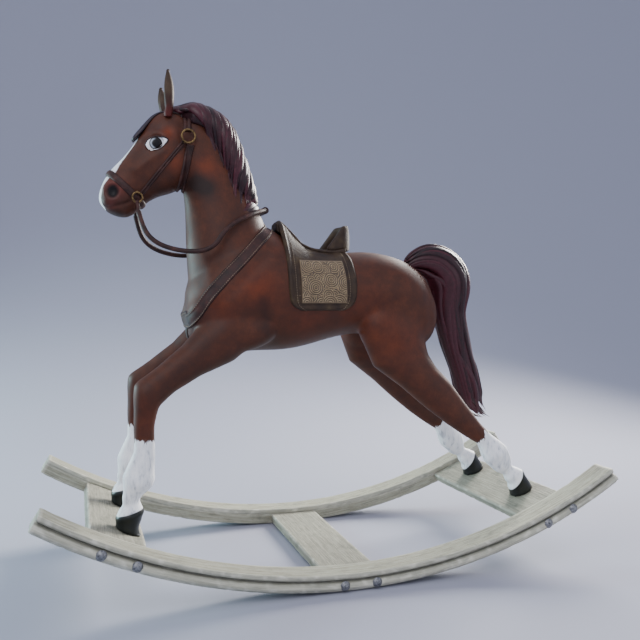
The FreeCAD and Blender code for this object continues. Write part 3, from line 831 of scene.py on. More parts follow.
def model_carving(mesh):
    """Raises muscles, joints and features; returns the points in mm and how far each lies inside a nostril."""
    mm = smoothed(points_of(mesh), edges_of(mesh), 10) / MM
    for x, z, reach, rounds in SOFT_PLACES:
        near = np.exp(-(np.hypot(mm[:, 0] - x, mm[:, 2] - z) / reach) ** 4)[:, None]
        mm = mm * (1 - near) + smoothed(mm, edges_of(mesh), rounds, keep_size=False) * near
    move_points(mesh, mm * MM)
    for path, radius, height in MODELLING:
        mm = swell(mm, normals_of(mesh), path, radius, height)
    normals = normals_of(mesh)
    opening = np.hypot(*((mm[:, (0, 2)] - NOSTRIL_PLACE) / NOSTRIL_HALF_SIZE).T)
    outside = np.abs(mm[:, 1]) > NOSTRIL_FROM_Y
    nostril = np.exp(-opening ** 3) * outside
    rim = np.exp(-((opening - 1.45) / 0.3) ** 2) * outside
    mm = mm + normals * (rim * NOSTRIL_RIM - nostril * NOSTRIL_DEPTH)[:, None]
    for path, radius, height in LEG_MODELLING:
        mm = swell(mm, normals, path, radius, height, both=False)
    move_points(mesh, smoothed(mm * MM, edges_of(mesh), 2))
    return mm, nostril


def paint_carving(mesh, mm, nostril):
    """Marks the white socks and blaze, the hooves, the rosy and warm places of the coat, and painted shade under the
    body and jaw, behind the elbows, along the forelegs and round the mouth.
    """
    normals = normals_of(mesh)
    flat = mm[:, (0, 2)]
    x, z, side = mm[:, 0], mm[:, 2], np.abs(mm[:, 1])
    fore, hind = (x < -200) & (z < 420), x > 250
    sock = np.where(fore, FORE_SOCK_TOP - z, np.where(hind, ((x - 356) * 25 - (z - 259.5) * 18) / 30.8, UNMARKED))
    hoof = np.where(fore & (x < -360), 142 + 0.25 * (x + 440) - z,
                    np.where(hind, ((x - 431) * 40 - (z - 132) * 24) / 46.6, UNMARKED))
    width = np.interp(z, BLAZE_HEIGHTS, BLAZE_HALF_WIDTHS)
    from_line = distance_to_path(mm, [(a, 0, b) for a, b in FACE_LINE])
    blaze = np.where((x < -340) & (z > 745), width - from_line, UNMARKED)
    rosy = (spot_of(flat, -445, 790, 19, 0.75) + spot_of(flat, -452, 756, 12, 0.3)) * np.clip((side - 7) / 8, 0, 1)
    warm = sum(spot_of(flat, *spot) for spot in WARM_SPOTS)
    # Painted shade on faces that look down, such as the belly and the underside of the neck and jaw.
    dark = 0.55 * np.clip(-normals[:, 2], 0, 1) ** 1.5 * (z > 400)
    # Painted shade in the hollow under the jaw, along the forelegs, behind the elbows and round the mouth and chin.
    dark += streak_of(flat, [(-278, 806), (-262, 796)], 21, 1.25) * (x > -300)
    dark += streak_of(flat, [(-250, 520), (-300, 430), (-405, 340)], 22, 0.3)
    dark += streak_of(flat, [(-150, 560), (-143, 500)], 15, 0.5)
    dark += spot_of(flat, -462, 764, 20, 0.6) * (side > 9) + spot_of(flat, -440, 738, 16, 0.4)
    set_attributes(mesh, sock=sock * MM, hoof=hoof * MM, blaze=blaze * MM, rosy=rosy, warm=warm,
                   dark=np.clip(dark, 0, 0.9), nostril=np.clip(nostril * 2.2, 0, 1))


def make_carving():
    """The horse itself: the carved blocks as one skin, modelled with muscles and features, then painted."""
    fillers = [muscle((x, sign * y, z), run, semi) for (x, y, z), run, semi in MUSCLES for _, sign in SIDES]
    horse = remeshed(joined("horse_carving", [copied(*CARVING_NODES)] + fillers), 3.6)
    paint_carving(horse.data, *model_carving(horse.data))
    horse.data.shade_smooth()
    settle(horse, "coat", "coat", *CARVING_NODES, "leg_dowels", "neck_dowels", "head_dowel", "tail_peg")
    return horse


# ---------------------------------------------------------------- eyes and ears

EYE_SHAPE = [(-383, 879), (-378, 889), (-366, 896), (-351, 896), (-338, 890), (-346, 878), (-357, 869),
             (-371, 866), (-379, 871)]
EYE_MIDDLE, IRIS_MIDDLE, IRIS_REACH = (-361.0, 0, 881.0), (-361.8, 882.5), 15.0
EYE_DEPTH = 8 * MM


def make_eye(side, sign, skin):
    """A domed glass eye set in an almond between two lids, with a dark line round it that is heaviest at the top as
    painted shade under the upper lid.
    """
    outline = smooth_curve([(x, 0, z) for x, z in EYE_SHAPE + EYE_SHAPE[:1]], 65)[:-1]
    middle, iris = np.array(EYE_MIDDLE), np.array(IRIS_MIDDLE)
    rings = 15
    verts, reach, glint = [], [], []
    for r in range(rings + 1):
        for point in outline:
            spot = middle + (point - middle) * r / rings
            hit, _ = skin.cast((spot[0] * MM, 0, spot[2] * MM), (0, sign, 0), 0.13)
            rise = 0.4 + 4.2 * (1 - (r / rings) ** 2)
            verts.append((hit[0], hit[1] + sign * rise * MM, hit[2]))
            gap = spot[[0, 2]] - iris
            reach.append(np.hypot(*gap) / IRIS_REACH)
            # Where the painted highlight arc lies, at the front of the iris.
            glint.append(math.exp(-((np.hypot(*gap) - 9.6) / 1.5) ** 2) * min(1, max(0, -gap[0] / 6 + 0.1)))
    count = len(outline)
    back = [(x, y - sign * EYE_DEPTH, z) for x, y, z in verts[rings * count:]]
    faces = ring_faces(rings + 2, count) + [tuple(range(len(verts), len(verts) + count))]
    eye = new_piece(f"eye_{side}_glass", verts + back, faces)
    set_attributes(eye.data, iris=reach + [1.0] * count, glint=glint + [0.0] * count)
    settle(outward(eye), "eye", "eye_glass", f"eye_{side}")
    rim = np.array(verts[rings * count:])
    rim = np.concatenate([rim, rim[:2]])
    # The liner is a dark outline round the eye that thickens at the top, where it is painted shade under the upper
    # lid.
    for name, grow, drop, slot in (("lid", 1.7, 0.7, "coat"), ("liner_and_lid_shade", 0.8, -0.6, "eye_glass")):
        path = rim.copy()
        path[:, 1] -= sign * drop * MM
        upper = np.clip((path[:, 2] / MM - 876) / 12, 0, 1)
        piece = tube(f"eye_{side}_{name}", path, (grow * (0.7 + 0.5 * upper)) * MM, sides=8,
                     flat_axis=(0, sign, 0))
        settle(piece, name, slot)


EAR_X, EAR_ROOT_Z = -336, 944


def make_ear(side, sign):
    """An upright leaf-shaped ear, hollowed in front."""
    ear = remeshed(copied(f"ear_{side}"), 1.4)
    ear.name = f"ear_{side}_carving"
    mesh = ear.data
    mm = smoothed(points_of(mesh), edges_of(mesh), 6) / MM
    normals = normals_of(mesh)
    height = np.clip((mm[:, 2] - EAR_ROOT_Z) / 90, 0, 1)
    centre = np.interp(mm[:, 2], (940, 1036), (sign * 29, sign * 36))
    width = 9 * np.sqrt(np.clip(1 - height, 0.02, 1)) + 1
    hollow = np.exp(-((mm[:, 1] - centre) / width) ** 2) * np.clip(-normals[:, 0] * 2, 0, 1)
    hollow *= np.clip((mm[:, 2] - 948) / 12, 0, 1)
    mm[:, 0] += 5.5 * hollow
    fuller = 1 + 0.75 * np.clip(height * 1.6, 0, 1)
    mm[:, 0] = EAR_X + (mm[:, 0] - EAR_X) * fuller
    if side == "right":
        mm[:, 2] = EAR_ROOT_Z + (mm[:, 2] - EAR_ROOT_Z) * 0.8
        mm[:, 0] -= 7 * height
    move_points(mesh, smoothed(mm * MM, edges_of(mesh), 1))
    set_attributes(mesh, tone=height)
    mesh.shade_smooth()
    settle(ear, "ear", "ear_leather", f"ear_{side}")


# ---------------------------------------------------------------- hair

def lock(path, normals, radii, flat, rng):
    """One carved lock: a tapered, flattened, ridged tongue. Returns its points, faces, tones and ridges."""
    sides = 14
    path, normals = np.array(path), np.array(normals)
    tangents = unit(np.gradient(path, axis=0))
    across = unit(np.cross(tangents, normals))
    up = np.cross(across, tangents)
    lines = rng.choice((3, 4, 5))
    shift, tone = rng.random() * 6, rng.random()
    verts, tones, ridges = [], [], []
    for i in range(len(path)):
        for k in range(sides):
            turn = 2 * math.pi * k / sides
            ridge = 0.5 + 0.5 * math.cos(lines * turn + shift + 0.12 * i)
            r = radii[i] * (0.9 + 0.14 * ridge)
            verts.append(path[i] + r * (across[i] * math.cos(turn) + flat * up[i] * math.sin(turn)))
            tones.append(tone)
            # Low ridge values mark the grooves, which the hair finish paints with shade.
            ridges.append(0.35 + 0.65 * ridge)
    return verts, tube_faces(len(path), sides), tones, ridges


def hair_piece(name, locks, finish, slot, *replaced):
    """All the locks as one mesh with their tone and ridge shading."""
    verts, faces, tones, ridges = [], [], [], []
    for some_verts, some_faces, some_tones, some_ridges in locks:
        base = len(verts)
        verts += some_verts
        faces += [tuple(base + v for v in face) for face in some_faces]
        tones += some_tones
        ridges += some_ridges
    piece = new_piece(name, verts, faces)
    set_attributes(piece.data, tone=tones, ridge=ridges)
    settle(outward(piece), finish, slot, *replaced)


MANE_TOP = [(-322, 953), (-300, 966), (-257, 966), (-218, 944), (-189, 899), (-166, 848), (-149, 787), (-138, 764)]
MANE_LOW = [(-300, 938), (-283, 927), (-250, 890), (-228, 850), (-213, 817), (-202, 778), (-184, 756), (-172, 748)]


def line_at(line, t):
    """The point at fraction t of a line of (x, z) points."""
    at = t * (len(line) - 1)
    return (float(np.interp(at, range(len(line)), [p[0] for p in line])),
            float(np.interp(at, range(len(line)), [p[1] for p in line])))


def make_mane(horse):
    """Overlapping locks that fall from the crest to both sides over a solid base."""
    base = remeshed(copied("mane"), 3.0)
    base.name = "mane_base"
    mesh = base.data
    points = smoothed(points_of(mesh), edges_of(mesh), 6)
    ahead = np.clip((-0.286 - points[:, 0]) / 0.02, 0, 1)
    points[:, 1] *= 1 - 0.5 * ahead
    points[:, 2] -= 0.004 * ahead
    move_points(mesh, points)
    set_attributes(mesh, tone=[0.2] * len(points), ridge=[0.5] * len(points))
    mesh.shade_smooth()
    settle(base, "hair", "hair", "mane")
    over = Surface(base, horse)
    rng = random.Random(7)
    locks = []
    for sign in (-1, 1):
        for layer, count in ((0, 20), (1, 15)):
            for k in range(count):
                t = (k + 0.25 + 0.5 * rng.random()) / count
                fall = 0.14 + 0.08 * rng.random() if t < 0.84 else 0.05
                full = (12.5 if t < 0.22 else 10.0) * (1.0 if layer == 0 else 0.72) * (0.85 + 0.3 * rng.random())
                long = 0.98 + 0.1 * rng.random() if layer == 0 else 0.7 + 0.3 * rng.random()
                sway = rng.uniform(-0.02, 0.02)
                long *= 0.42 + 0.58 * min(1.0, t / 0.2) ** 1.5
                path, normals, radii = [], [], []
                for i in range(26):
                    s = i / 25
                    along = min(1.0, t + fall * s ** 1.3 + sway * math.sin(3 * s))
                    top, low = line_at(MANE_TOP, along), line_at(MANE_LOW, along)
                    turn = math.radians(96 * (1 - s * long) - 4)
                    run = np.array((top[0] - low[0], top[1] - low[1]))
                    run /= np.linalg.norm(run)
                    direction = (math.sin(turn) * run[0], sign * math.cos(turn), math.sin(turn) * run[1])
                    centre = (low[0] * MM, 0, low[1] * MM)
                    hit, normal = over.cast(centre, direction, 0.12)
                    path.append(hit + np.array(normal) * (1.6 * layer - 0.12 * full) * MM)
                    normals.append(direction)
                    body = 0.62 + 0.38 * math.sin(math.pi * min(1, s * 1.15 + 0.08))
                    radii.append(full * MM * body * max(0.2, 1 - s ** 6))
                path = smooth_curve(path[::2] + [path[-1]], 26)
                locks.append(lock(path, normals, radii, 0.5, rng))
    hair_piece("mane_locks", locks, "hair", "hair")


TAIL_LINE = [(212, 640, 15), (238, 652, 31), (268, 654, 46), (297, 643, 55), (319, 621, 60), (328, 594, 58),
             (327, 557, 52), (329, 525, 47), (343, 470, 43), (356, 428, 40), (369, 388, 40), (378, 348, 41),
             (386, 320, 39), (408, 296, 24), (440, 277, 5)]


def make_tail():
    """A thick arched tail of flowing locks round a solid core, with a thin flicked tip."""
    count = 60
    line = smooth_curve(TAIL_LINE, count)
    centres = np.stack([line[:, 0], np.zeros(count), line[:, 1]], axis=1)
    half = line[:, 2]
    run = unit(np.gradient(centres, axis=0))
    outward_side = np.stack([-run[:, 2], np.zeros(count), run[:, 0]], axis=1)
    across = np.array((0.0, 1.0, 0.0))
    rng = random.Random(3)
    locks = []

    def strand(turn, ring, thick, start, end, swing):
        """One lock at an angle and distance from the tail's own line."""
        path, normals, radii = [], [], []
        for i in range(42):
            s = i / 41
            at = (start + (end - start) * s) * (count - 1)
            low = int(min(at, count - 2))
            part = at - low
            centre = centres[low] * (1 - part) + centres[low + 1] * part
            side = outward_side[low] * (1 - part) + outward_side[low + 1] * part
            room = half[low] * (1 - part) + half[low + 1] * part
            angle = turn + swing * math.sin(2.2 * math.pi * s)
            away = side * math.cos(angle) * room + across * math.sin(angle) * room * 0.66
            path.append((centre + away * ring) * MM)
            normals.append(away / np.linalg.norm(away))
            grown = min(1.0, 0.45 + 2.2 * s)
            radii.append(thick * room * MM * grown * max(0.1, 1 - s ** 7))
        locks.append(lock(path, normals, radii, 0.62, rng))

    strand(0.0, 0.02, 0.66, 0.0, 1.0, 0.0)
    for k in range(13):
        strand(2 * math.pi * (k + 0.5 * rng.random()) / 13, 0.68, 0.34, 0.0, 0.86 + 0.12 * rng.random(),
               rng.uniform(-0.35, 0.35))
    for k in range(20):
        start = rng.choice((0.02, 0.14, 0.28, 0.42))
        strand(2 * math.pi * (k + 0.6 * rng.random()) / 20, 0.8, rng.uniform(0.13, 0.22), start,
               min(0.97, start + 0.4 + 0.3 * rng.random()), rng.uniform(-0.55, 0.55))
    hair_piece("tail_locks", locks, "hair", "hair", "tail")


def make_forelock(skin):
    """A few locks that lie along the brow between the ears and stand off it at their tips."""
    rng = random.Random(5)
    locks = []
    for k in range(6):
        y = (k - 2.5) * 4.0
        line = [(-330, 957), (-350, 952), (-368, 940), (-384, 922), (-394, 906),
                (-400 - 2 * rng.random(), 894 - 4 * rng.random())]
        path, normals, radii = [], [], []
        for x, _, z in smooth_curve([(a, 0, b) for a, b in line], 20):
            s = len(path) / 19
            stand = 0.5 + 7.5 * s ** 2
            hit, normal = skin.cast(((x + 30) * MM, y * (1 + 0.3 * s) * MM, (z - 30) * MM), (-0.7, 0, 0.7), 0.1)
            path.append(hit + normal * stand * MM)
            normals.append(normal)
            radii.append((2.8 + 5.6 * s ** 1.5) * MM * (1 - 0.6 * s ** 10))
        locks.append(lock(path, normals, radii, 0.6, rng))
    hair_piece("forelock_locks", locks, "forelock", "forelock_hair", "forelock")


# ---------------------------------------------------------------- bridle, breast strap and reins

REIN_ROUTE = [(-397, -43, 742), (-391, -50, 715), (-378, -58, 689), (-352, -66, 671), (-312, -73, 661),
              (-272, -83, 661), (-246, -87, 676), (-232, -85, 700), (-208, -78, 722), (-177, -65, 738),
              (-150, -45, 750), (-130, -24, 756)]
REIN_THICKNESS = 0.010


def make_reins():
    """Round leather reins, from each bit ring's loop under the neck strap to the join before the saddle."""
    for side, sign in SIDES:
        data = bpy.data.curves.new(f"rein_{side}", "CURVE")
        data.dimensions = "3D"
        data.bevel_depth = REIN_THICKNESS / 2
        data.bevel_resolution = 5
        data.resolution_u = 10
        data.use_fill_caps = True
        spline = data.splines.new("NURBS")
        spline.points.add(len(REIN_ROUTE) - 1)
        for point, (x, y, z) in zip(spline.points, REIN_ROUTE):
            point.co = (x * MM, -sign * y * MM, z * MM, 1)
        spline.order_u = 3
        spline.use_endpoint_u = True
        rein = placed(f"rein_{side}_cord", data)
        settle(rein, "strap", "strap_leather", f"rein_{side}")
        x, y, z = REIN_ROUTE[0]


STUD_DOME, STUD_SINK = 0.6, 0.3


def stud(name, place, normal, radius_mm):
    """A small domed brass stud."""
    normal = unit(normal)
    side = unit(np.cross(normal, (0.0, 0.3, 1.0)))
    up = np.cross(normal, side)
    verts, rings, spokes = [], 6, 20
    for r in range(1, rings + 1):
        lean = math.pi / 2 * r / rings
        for k in range(spokes):
            turn = 2 * math.pi * k / spokes
            flat = side * math.cos(turn) + up * math.sin(turn)
            verts.append(place + radius_mm * MM * (flat * math.sin(lean) + normal * math.cos(lean) * STUD_DOME))
    verts += [place + normal * radius_mm * MM * STUD_DOME, place - normal * radius_mm * MM * STUD_SINK]
    settle(outward(new_piece(name, verts, bead_faces(rings, spokes))), "brass", "ring_brass")


BREAST_STITCH_COLUMNS = (3, 17)
STUDS = (("crown", -297, 938, 3.4), ("cheek", -305, 887, 2.8), ("nose", -399, 783, 2.6))


def make_straps(skin):
    """Every strap, laid on the painted carving, with stitches and studs."""
    run = (102, -97)
    lay_strap("noseband_strap", "noseband", skin, [(-423, 793, 30 * i, *run) for i in range(13)],
              7.5, 4.6, round_profile, count=96, reach=0.1, around=True)
    run = (85, 108)
    for side, sign in SIDES:
        turn = 0 if sign < 0 else 180
        lay_strap(f"cheek_strap_{side}_twin", f"cheek_strap_{side}", skin,
                  [(-393, 776, turn, *run), (-305, 889, turn, *run)], 4.8, 3.6, twin_profile, count=60, reach=0.1)
    run = (3, 75)
    lay_strap("crown_strap_twin", "crown_strap", skin, left_and_right([
        (-298, 911, 0, *run), (-297, 925, 4, *run), (-297, 932, 30, *run), (-297, 930, 62, *run),
        (-297, 928, 90, *run)]), 8.5, 5.5, twin_profile, reach=0.085)
    run = (-22, -110)
    lay_strap("throat_lash_strap", "throat_lash", skin, left_and_right([
        (-291, 884, 0, *run), (-296, 862, 0, *run), (-300, 838, 0, *run), (-303, 822, 18, *run),
        (-303, 820, 55, *run), (-303, 820, 90, *run)]), 8.5, 4.4, edged_profile, reach=0.1)
    first, last = (-156, -162), (-78, -104)
    hits, normals = lay_strap("breast_strap_band", "breast_strap", skin, left_and_right([
        (-112, 726, 0, *first), (-150, 690, 0, *first), (-190, 648, 0, *first), (-214, 624, 6, *first),
        (-224, 614, 24, -110, -125), (-226, 612, 50, *last), (-226, 612, 72, *last), (-226, 612, 90, *last)]),
        12.0, 3.8, edged_profile, count=150, columns=21, reach=0.14)
    make_chest_strap(skin)
    stitches = [hits[:, column] + normals[:, column] * 3.3 * MM for column in BREAST_STITCH_COLUMNS]
    stitch_rows("breast_strap_stitches", stitches, "strap_leather", 5.0, 3.2)
    for side, sign in SIDES:
        brow = []
        for i in range(24):
            x, z = -327 + 35 * i / 23, 950 - 5 * (i / 23) ** 2
            hit, normal = skin.cast((x * MM, 0, (z - 25) * MM), (0, sign * 0.55, 0.83), 0.07)
            brow.append(hit + normal * 1.2 * MM)
        band = tube(f"poll_strap_{side}", smooth_curve(brow[::3] + [brow[-1]], 30), [2.6 * MM] * 30)
        settle(band, "strap", "strap_leather")
        for name, x, z, size in STUDS:
            hit, normal = skin.cast((x * MM, 0, z * MM), (0, sign, 0), 0.1)
            stud(f"{name}_stud_{side}", hit + normal * 3.6 * MM, normal, size)


def make_chest_strap(skin):
    """The short strap that drops down the breast from the breast strap."""
    outer, inner = [], []
    for z in np.linspace(508, 458, 24):
        row, base = [], []
        for v in (2 * j / 10 - 1 for j in range(11)):
            hit, normal = skin.cast((-0.20, v * 8.5 * MM, z * MM), (-1, 0, 0), 0.2)
            row.append(hit + normal * 3.4 * edged_profile(v) * MM)
            base.append(hit - normal * STRAP_SINK)
        outer.append(row)
        inner.append(base)
    settle(closed_shell("chest_strap_band", outer, inner), "strap", "strap_leather", "chest_strap")


# ---------------------------------------------------------------- saddle

SKIRT_FRONT = ((540, -70), (543, -82), (550, -91), (560, -95), (587, -98), (630, -99), (673, -100), (760, -101))
SKIRT_BACK = ((540, 26), (543, 38), (552, 48), (566, 53), (596, 55), (641, 55), (673, 50), (760, 46))
FLAP_TOP_Z, FLAP_FOOT_Z, ARCH_SHARE = 622, 540, 0.52
SADDLE_CROWN = ((-101, 736), (-93, 737), (-85, 733), (-66, 711), (-43, 687), (-12, 679), (16, 676), (30, 680),
                (52, 676))


def make_skirt(skin):
    """The saddle's cover: one hide moulded over the pommel and the seat, with a raised roll round its flaps."""
    rows, columns = 121, 67
    hits, normals, edge = [], [], []
    for i in range(rows):
        s = abs(2 * i / (rows - 1) - 1)
        sign = -1 if i < rows // 2 else 1
        z = FLAP_TOP_Z - (FLAP_TOP_Z - FLAP_FOOT_Z) * max(0.0, (s - ARCH_SHARE) / (1 - ARCH_SHARE))
        turn = math.radians(90 * max(0.0, 1 - s / ARCH_SHARE))
        height = z if s > ARCH_SHARE else FLAP_TOP_Z + 60 * (1 - s / ARCH_SHARE)
        front = np.interp(height, *zip(*SKIRT_FRONT))
        back = np.interp(height, *zip(*SKIRT_BACK))
        line, far = [], []
        for j in range(columns):
            x = front + (back - front) * j / (columns - 1)
            direction = (0, sign * math.cos(turn), math.sin(turn))
            line.append(skin.cast((x * MM, 0, z * MM), direction, 0.16))
            far.append(min(x - front, back - x, height - FLAP_FOOT_Z + 0.01))
        hits.append([h for h, _ in line])
        normals.append([n for _, n in line])
        edge.append(far)
    hits, normals, edge = np.array(hits), np.array(normals), np.array(edge)
    evened((hits, normals), 8)
    normals = unit(normals)
    crown = np.interp(hits[:, :, 0] / MM, *zip(*SADDLE_CROWN))
    ridge = hits[rows // 2, :, 2][None, :] / MM
    near_top = np.exp(-(np.abs(hits[:, :, 1]) / MM / 50) ** 2.4)
    hits[:, :, 2] += np.maximum(0, crown - ridge - 3) * near_top * MM
    for _ in range(2):
        hits[1:-1, 1:-1] = 0.5 * hits[1:-1, 1:-1] + 0.125 * (hits[2:, 1:-1] + hits[:-2, 1:-1] + hits[1:-1, 2:]
                                                             + hits[1:-1, :-2])
    thick = 2.4 + 2.6 * np.exp(-((edge - 5.0) / 3.2) ** 2) - 0.5 * np.exp(-((edge - 11.5) / 1.6) ** 2)
    thick *= np.clip(0.3 + edge / 2.5, 0.3, 1)
    outer = hits + normals * (thick * MM)[:, :, None]
    skirt = closed_shell("saddle_skirt_hide", outer, hits - normals * 1.2 * MM)
    settle(skirt, "saddle", "saddle_leather", "saddle_skirt")
    seam = outer + normals * 0.3 * MM
    lines = [seam[part, j] for j in (7, columns - 8) for part in (slice(rows // 2 - 16), slice(rows // 2 + 17, None))]
    lines += [seam[i, 7:columns - 7] for i in (11, rows - 12)]
    stitch_rows("saddle_skirt_stitches", lines, "saddle_leather", 5.2, 3.0)
    return skirt


def scroll_relief(x, z):
    """Height from 0 to 1 of overlapping discs of pressed rings at a place in mm."""
    rng = random.Random(11)
    relief = np.full(x.shape, 0.5)
    for _ in range(90):
        cx, cz, size, swing = rng.uniform(-4, 106), rng.uniform(-4, 96), rng.uniform(9, 19), rng.uniform(0, 6.28)
        reach = np.hypot(x - cx, z - cz)
        turn = np.arctan2(z - cz, x - cx)
        wave = 0.5 + 0.5 * np.cos(2 * np.pi * (reach + 1.4 * np.sin(turn + swing)) / 4.2)
        relief = np.where(reach < size, wave, relief)
    return relief


PANEL_CORNER, PANEL_SIZE, PANEL_PITCH = (-71, 555), (102.0, 92.0), 0.95


def make_panels(skirt):
    """Square panels of tooled hide on the skirt's flaps."""
    surface = Surface(skirt)
    width, height = PANEL_SIZE
    columns, rows = int(width / PANEL_PITCH), int(height / PANEL_PITCH)
    u, v = np.linspace(0, width, columns), np.linspace(0, height, rows)
    grid_u, grid_v = np.meshgrid(u, v)
    edge = np.minimum(np.minimum(grid_u, width - grid_u), np.minimum(grid_v, height - grid_v))
    relief = scroll_relief(grid_u, grid_v)
    relief = np.where(edge < 2.0, 0.5, relief)
    for side, sign in SIDES:
        outer, inner = [], []
        for i in range(rows):
            row, base = [], []
            for j in range(columns):
                x, z = PANEL_CORNER[0] + u[j], PANEL_CORNER[1] + v[i]
                hit, _ = surface.cast((x * MM, 0, z * MM), (0, sign, 0), 0.16)
                lift = (1.5 + 1.9 * relief[i, j]) * min(1.0, 0.35 + edge[i, j] / 1.5)
                row.append((hit[0], hit[1] + sign * lift * MM, hit[2]))
                base.append((hit[0], hit[1] - sign * 0.5 * MM, hit[2]))
            outer.append(row)
            inner.append(base)
        panel = closed_shell(f"saddle_panel_{side}_hide", outer, inner)
        set_attributes(panel.data, relief=list(relief.ravel()) + [0.0] * (rows * columns))
        settle(panel, "tooled", "tooled_leather", f"saddle_panel_{side}")


def make_seat():
    """The seat's padded core under the cover, and the upright rounded rest behind it."""
    for node, grow_mm in (("saddle_seat", -0.4), ("saddle_cantle", 2.4)):
        part = remeshed(copied(node), 1.6)
        part.name = f"{node}_hide"
        mesh = part.data
        edges = edges_of(mesh)
        points = smoothed(smoothed(points_of(mesh), edges, 10), edges, 6, keep_size=False)
        move_points(mesh, points)
        move_points(mesh, points + normals_of(mesh) * grow_mm * MM)
        mesh.shade_smooth()
        settle(part, "saddle", "saddle_leather", node)


# ---------------------------------------------------------------- rockers

ROCKER_RADIUS, ROCKER_HALF_LENGTH, RAIL_GAP_HALF = 1158.0, 600.0, 210.0


def timber_sweep(name, profile, half_angle, place, rng_seed, wear_mm=0.9, rows=300, shaded_spots=((0, -1000),)):
    """A closed timber swept along place(angle or length, across, up), with nicked corners, a furrowed face and painted
    shade near the profile spots given.
    """
    profile = [np.array(p, dtype=float) for p in profile]
    dense, corner = [], []
    for i, start in enumerate(profile):
        end = profile[(i + 1) % len(profile)]
        steps = max(1, int(np.linalg.norm(end - start) / 2.6))
        for k in range(steps):
            dense.append(start + (end - start) * k / steps)
            reach = min(k, steps - k) / steps * np.linalg.norm(end - start)
            corner.append(math.exp(-(reach / 2.4) ** 2) if steps > 3 else 1.0)
    count = len(dense)
    around = np.concatenate([[0], np.cumsum([np.linalg.norm(dense[(k + 1) % count] - dense[k])
                                             for k in range(count)])])
    middle = np.mean(dense, axis=0)
    verts, along, across, worn, grime = [], [], [], [], []
    for i in range(rows + 1):
        at = half_angle * (2 * i / rows - 1)
        length = at if abs(half_angle) > 10 else at * ROCKER_RADIUS
        for k in range(count):
            nick = max(0.0, noise.noise(Vector((length / 14, dense[k][0] / 9, rng_seed + dense[k][1] / 9))) - 0.12)
            furrow = noise.noise(Vector((length / 90, around[k] / 3.2, rng_seed)))
            inward = (middle - dense[k]) / max(1.0, np.linalg.norm(middle - dense[k]))
            spot = dense[k] + inward * (wear_mm * (2.6 * nick * corner[k] + 0.35 * furrow + 0.35))
            ends = min(i, rows - i)
            if ends < 2:
                spot = spot + inward * (1.4 if ends == 0 else 0.3)
            verts.append(np.array(place(at, spot[0], spot[1])) * MM)
            along.append(length * MM)
            across.append((around[k] + 37 * rng_seed) * MM)
            worn.append(min(1.0, corner[k] * (0.35 + 1.6 * nick) + (0.5 if ends < 2 else 0)))
            # Painted shade near the given spots of the profile, such as the shaded groove under the cap.
            grime.append(max(math.exp(-(math.hypot(*(dense[k] - spot_mm)) / 4.0) ** 2) for spot_mm in shaded_spots))
    piece = outward(new_piece(name, verts, tube_faces(rows + 1, count)))
    set_attributes(piece.data, along=along, across=across, worn=worn, grime=grime)
    return piece


def rocker_place(angle, y, height):
    """A place on the rockers' arc, at a height above their lowest face."""
    reach = ROCKER_RADIUS - height
    return (math.sin(angle) * reach, y, ROCKER_RADIUS - math.cos(angle) * reach)


def make_rockers():
    """Two bowed rails, their cap strips and the three cross boards."""
    half_angle = math.asin(ROCKER_HALF_LENGTH / ROCKER_RADIUS)
    bulge = [(-263 - 11 * math.sin(math.pi * k / 10) ** 0.7, 22 - 21 * k / 10) for k in range(11)]
    rail = [(-RAIL_GAP_HALF, 0), (-RAIL_GAP_HALF, 24), (-260, 24)] + bulge + [(-260, 0)]
    cap = [(-RAIL_GAP_HALF, 24), (-RAIL_GAP_HALF, 33), (-212, 35), (-268, 35), (-270, 33), (-270, 26), (-266, 24)]
    for side, sign in SIDES:
        for name, profile, seed in (("rail", rail, 1 + sign), ("cap", cap, 5 + sign)):
            shape = [(-sign * y, z) for y, z in profile]
            # The groove under the cap's overhang gets painted shade.
            groove = np.array((sign * 267, 23.5))
            piece = timber_sweep(f"rocker_{name}_{side}_timber", shape, half_angle, rocker_place, seed,
                                 shaded_spots=(groove,))
            settle(piece, "rail_wood", "weathered_wood", f"rocker_{name}_{side}")
    blank = [(-57.5, 7), (-57.5, 22), (-55.5, 24), (55.5, 24), (57.5, 22), (57.5, 7), (55.5, 5), (-55.5, 5)]
    for name, lean, seed in (("front", -23.2, 11), ("centre", 0.0, 14), ("rear", 23.2, 17)):
        turn = math.radians(lean)

        def board_place(y, x, z, turn=turn):
            up = ROCKER_RADIUS - z
            return (x * math.cos(turn) + up * math.sin(turn), y,
                    ROCKER_RADIUS + x * math.sin(turn) - up * math.cos(turn))

        piece = timber_sweep(f"{name}_board_timber", blank, RAIL_GAP_HALF, board_place, seed, 0.7, rows=130)
        settle(piece, "board_wood", "weathered_board", f"{name}_board")


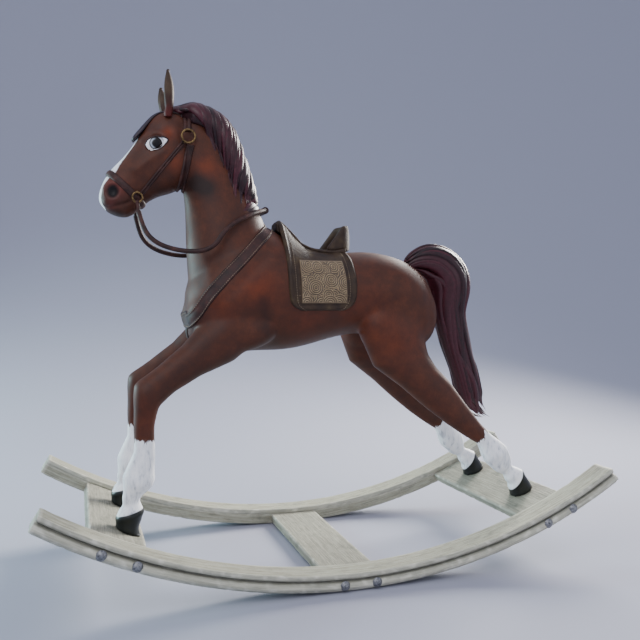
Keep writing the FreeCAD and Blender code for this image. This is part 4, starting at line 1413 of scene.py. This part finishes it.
CAD_FINISHES = (("steel", ("rocker_bolts_left", "rocker_bolts_right", "barrel_nuts", "hoof_screws")),
                ("dowel", ("leg_dowels", "neck_dowels", "head_dowel", "tail_peg")),
                ("brass", ("bit_ring_left", "bit_ring_right", "cheek_ring_left", "cheek_ring_right")),
                ("strap", ("rein_loop_left", "rein_loop_right", "rein_join")))


def finish_cad_pieces():
    """Metal, dowels and loops show as they were built, with a finish of their own."""
    for name, some in CAD_FINISHES:
        for node in some:
            nodes[node].data.materials.clear()
            nodes[node].data.materials.append(finishes[name])


# ---------------------------------------------------------------- the scene

make_camera()
finishes = {
    "coat": coat_paint(),
    "hair": hair("maroon_hair", "#1f0b10", "#40161f", "#5a2430"),
    "forelock": hair("dark_forelock", "#0f0a10", "#241722", "#3d2b3a"),
    "ear": ear_hide(),
    "lid": leather("eyelid_paint", "painted wood", "#38190f", "#4d2417", "#6a3422", 1.0, 0.00005, 0.4),
    # Near-black line round the eyes: an outline that is partly painted shade under the upper lids.
    "liner_and_lid_shade": shader(material("eye_liner", "black enamel"), "#0c0708", 0.25),
    "eye": eye_glass(),
    "strap": leather("strap_leather", "dark brown harness leather", "#22110e", "#3a1f1a", "#55332b",
                     1.1, 0.0002, 0.55),
    "saddle": leather("saddle_leather", "olive brown saddle leather", "#26190f", "#3a2a1c", "#4e4029",
                      1.8, 0.0004, 0.6),
    "tooled": tooled_hide(),
    "thread": leather("waxed_thread", "waxed linen thread", "#6d5a48", "#8d7a62", "#b3a184", 0.5, 0.00005, 0.5),
    "brass": metal("aged_brass", "brass", "#8f7650", "#4a3826", 0.34),
    "steel": metal("dull_steel", "galvanised steel", "#9b9c9e", "#5c5d60", 0.35),
    "rail_wood": weathered_wood("rail_wood", "#bab8a3", "#a3a18c", "#7e7c69"),
    "board_wood": weathered_wood("board_wood", "#a6a491", "#908e7d", "#727061"),
    "dowel": leather("dowel_wood", "beech", "#8a6a44", "#a88459", "#c4a274", 3.0, 0.0001, 0.6),
}
make_reins()
horse = make_carving()
skin = Surface(horse)
for side, sign in SIDES:
    make_eye(side, sign, skin)
    make_ear(side, sign)
make_mane(horse)
make_tail()
make_forelock(skin)
make_straps(skin)
skirt = make_skirt(skin)
make_panels(skirt)
make_seat()
make_rockers()
finish_cad_pieces()
make_studio()
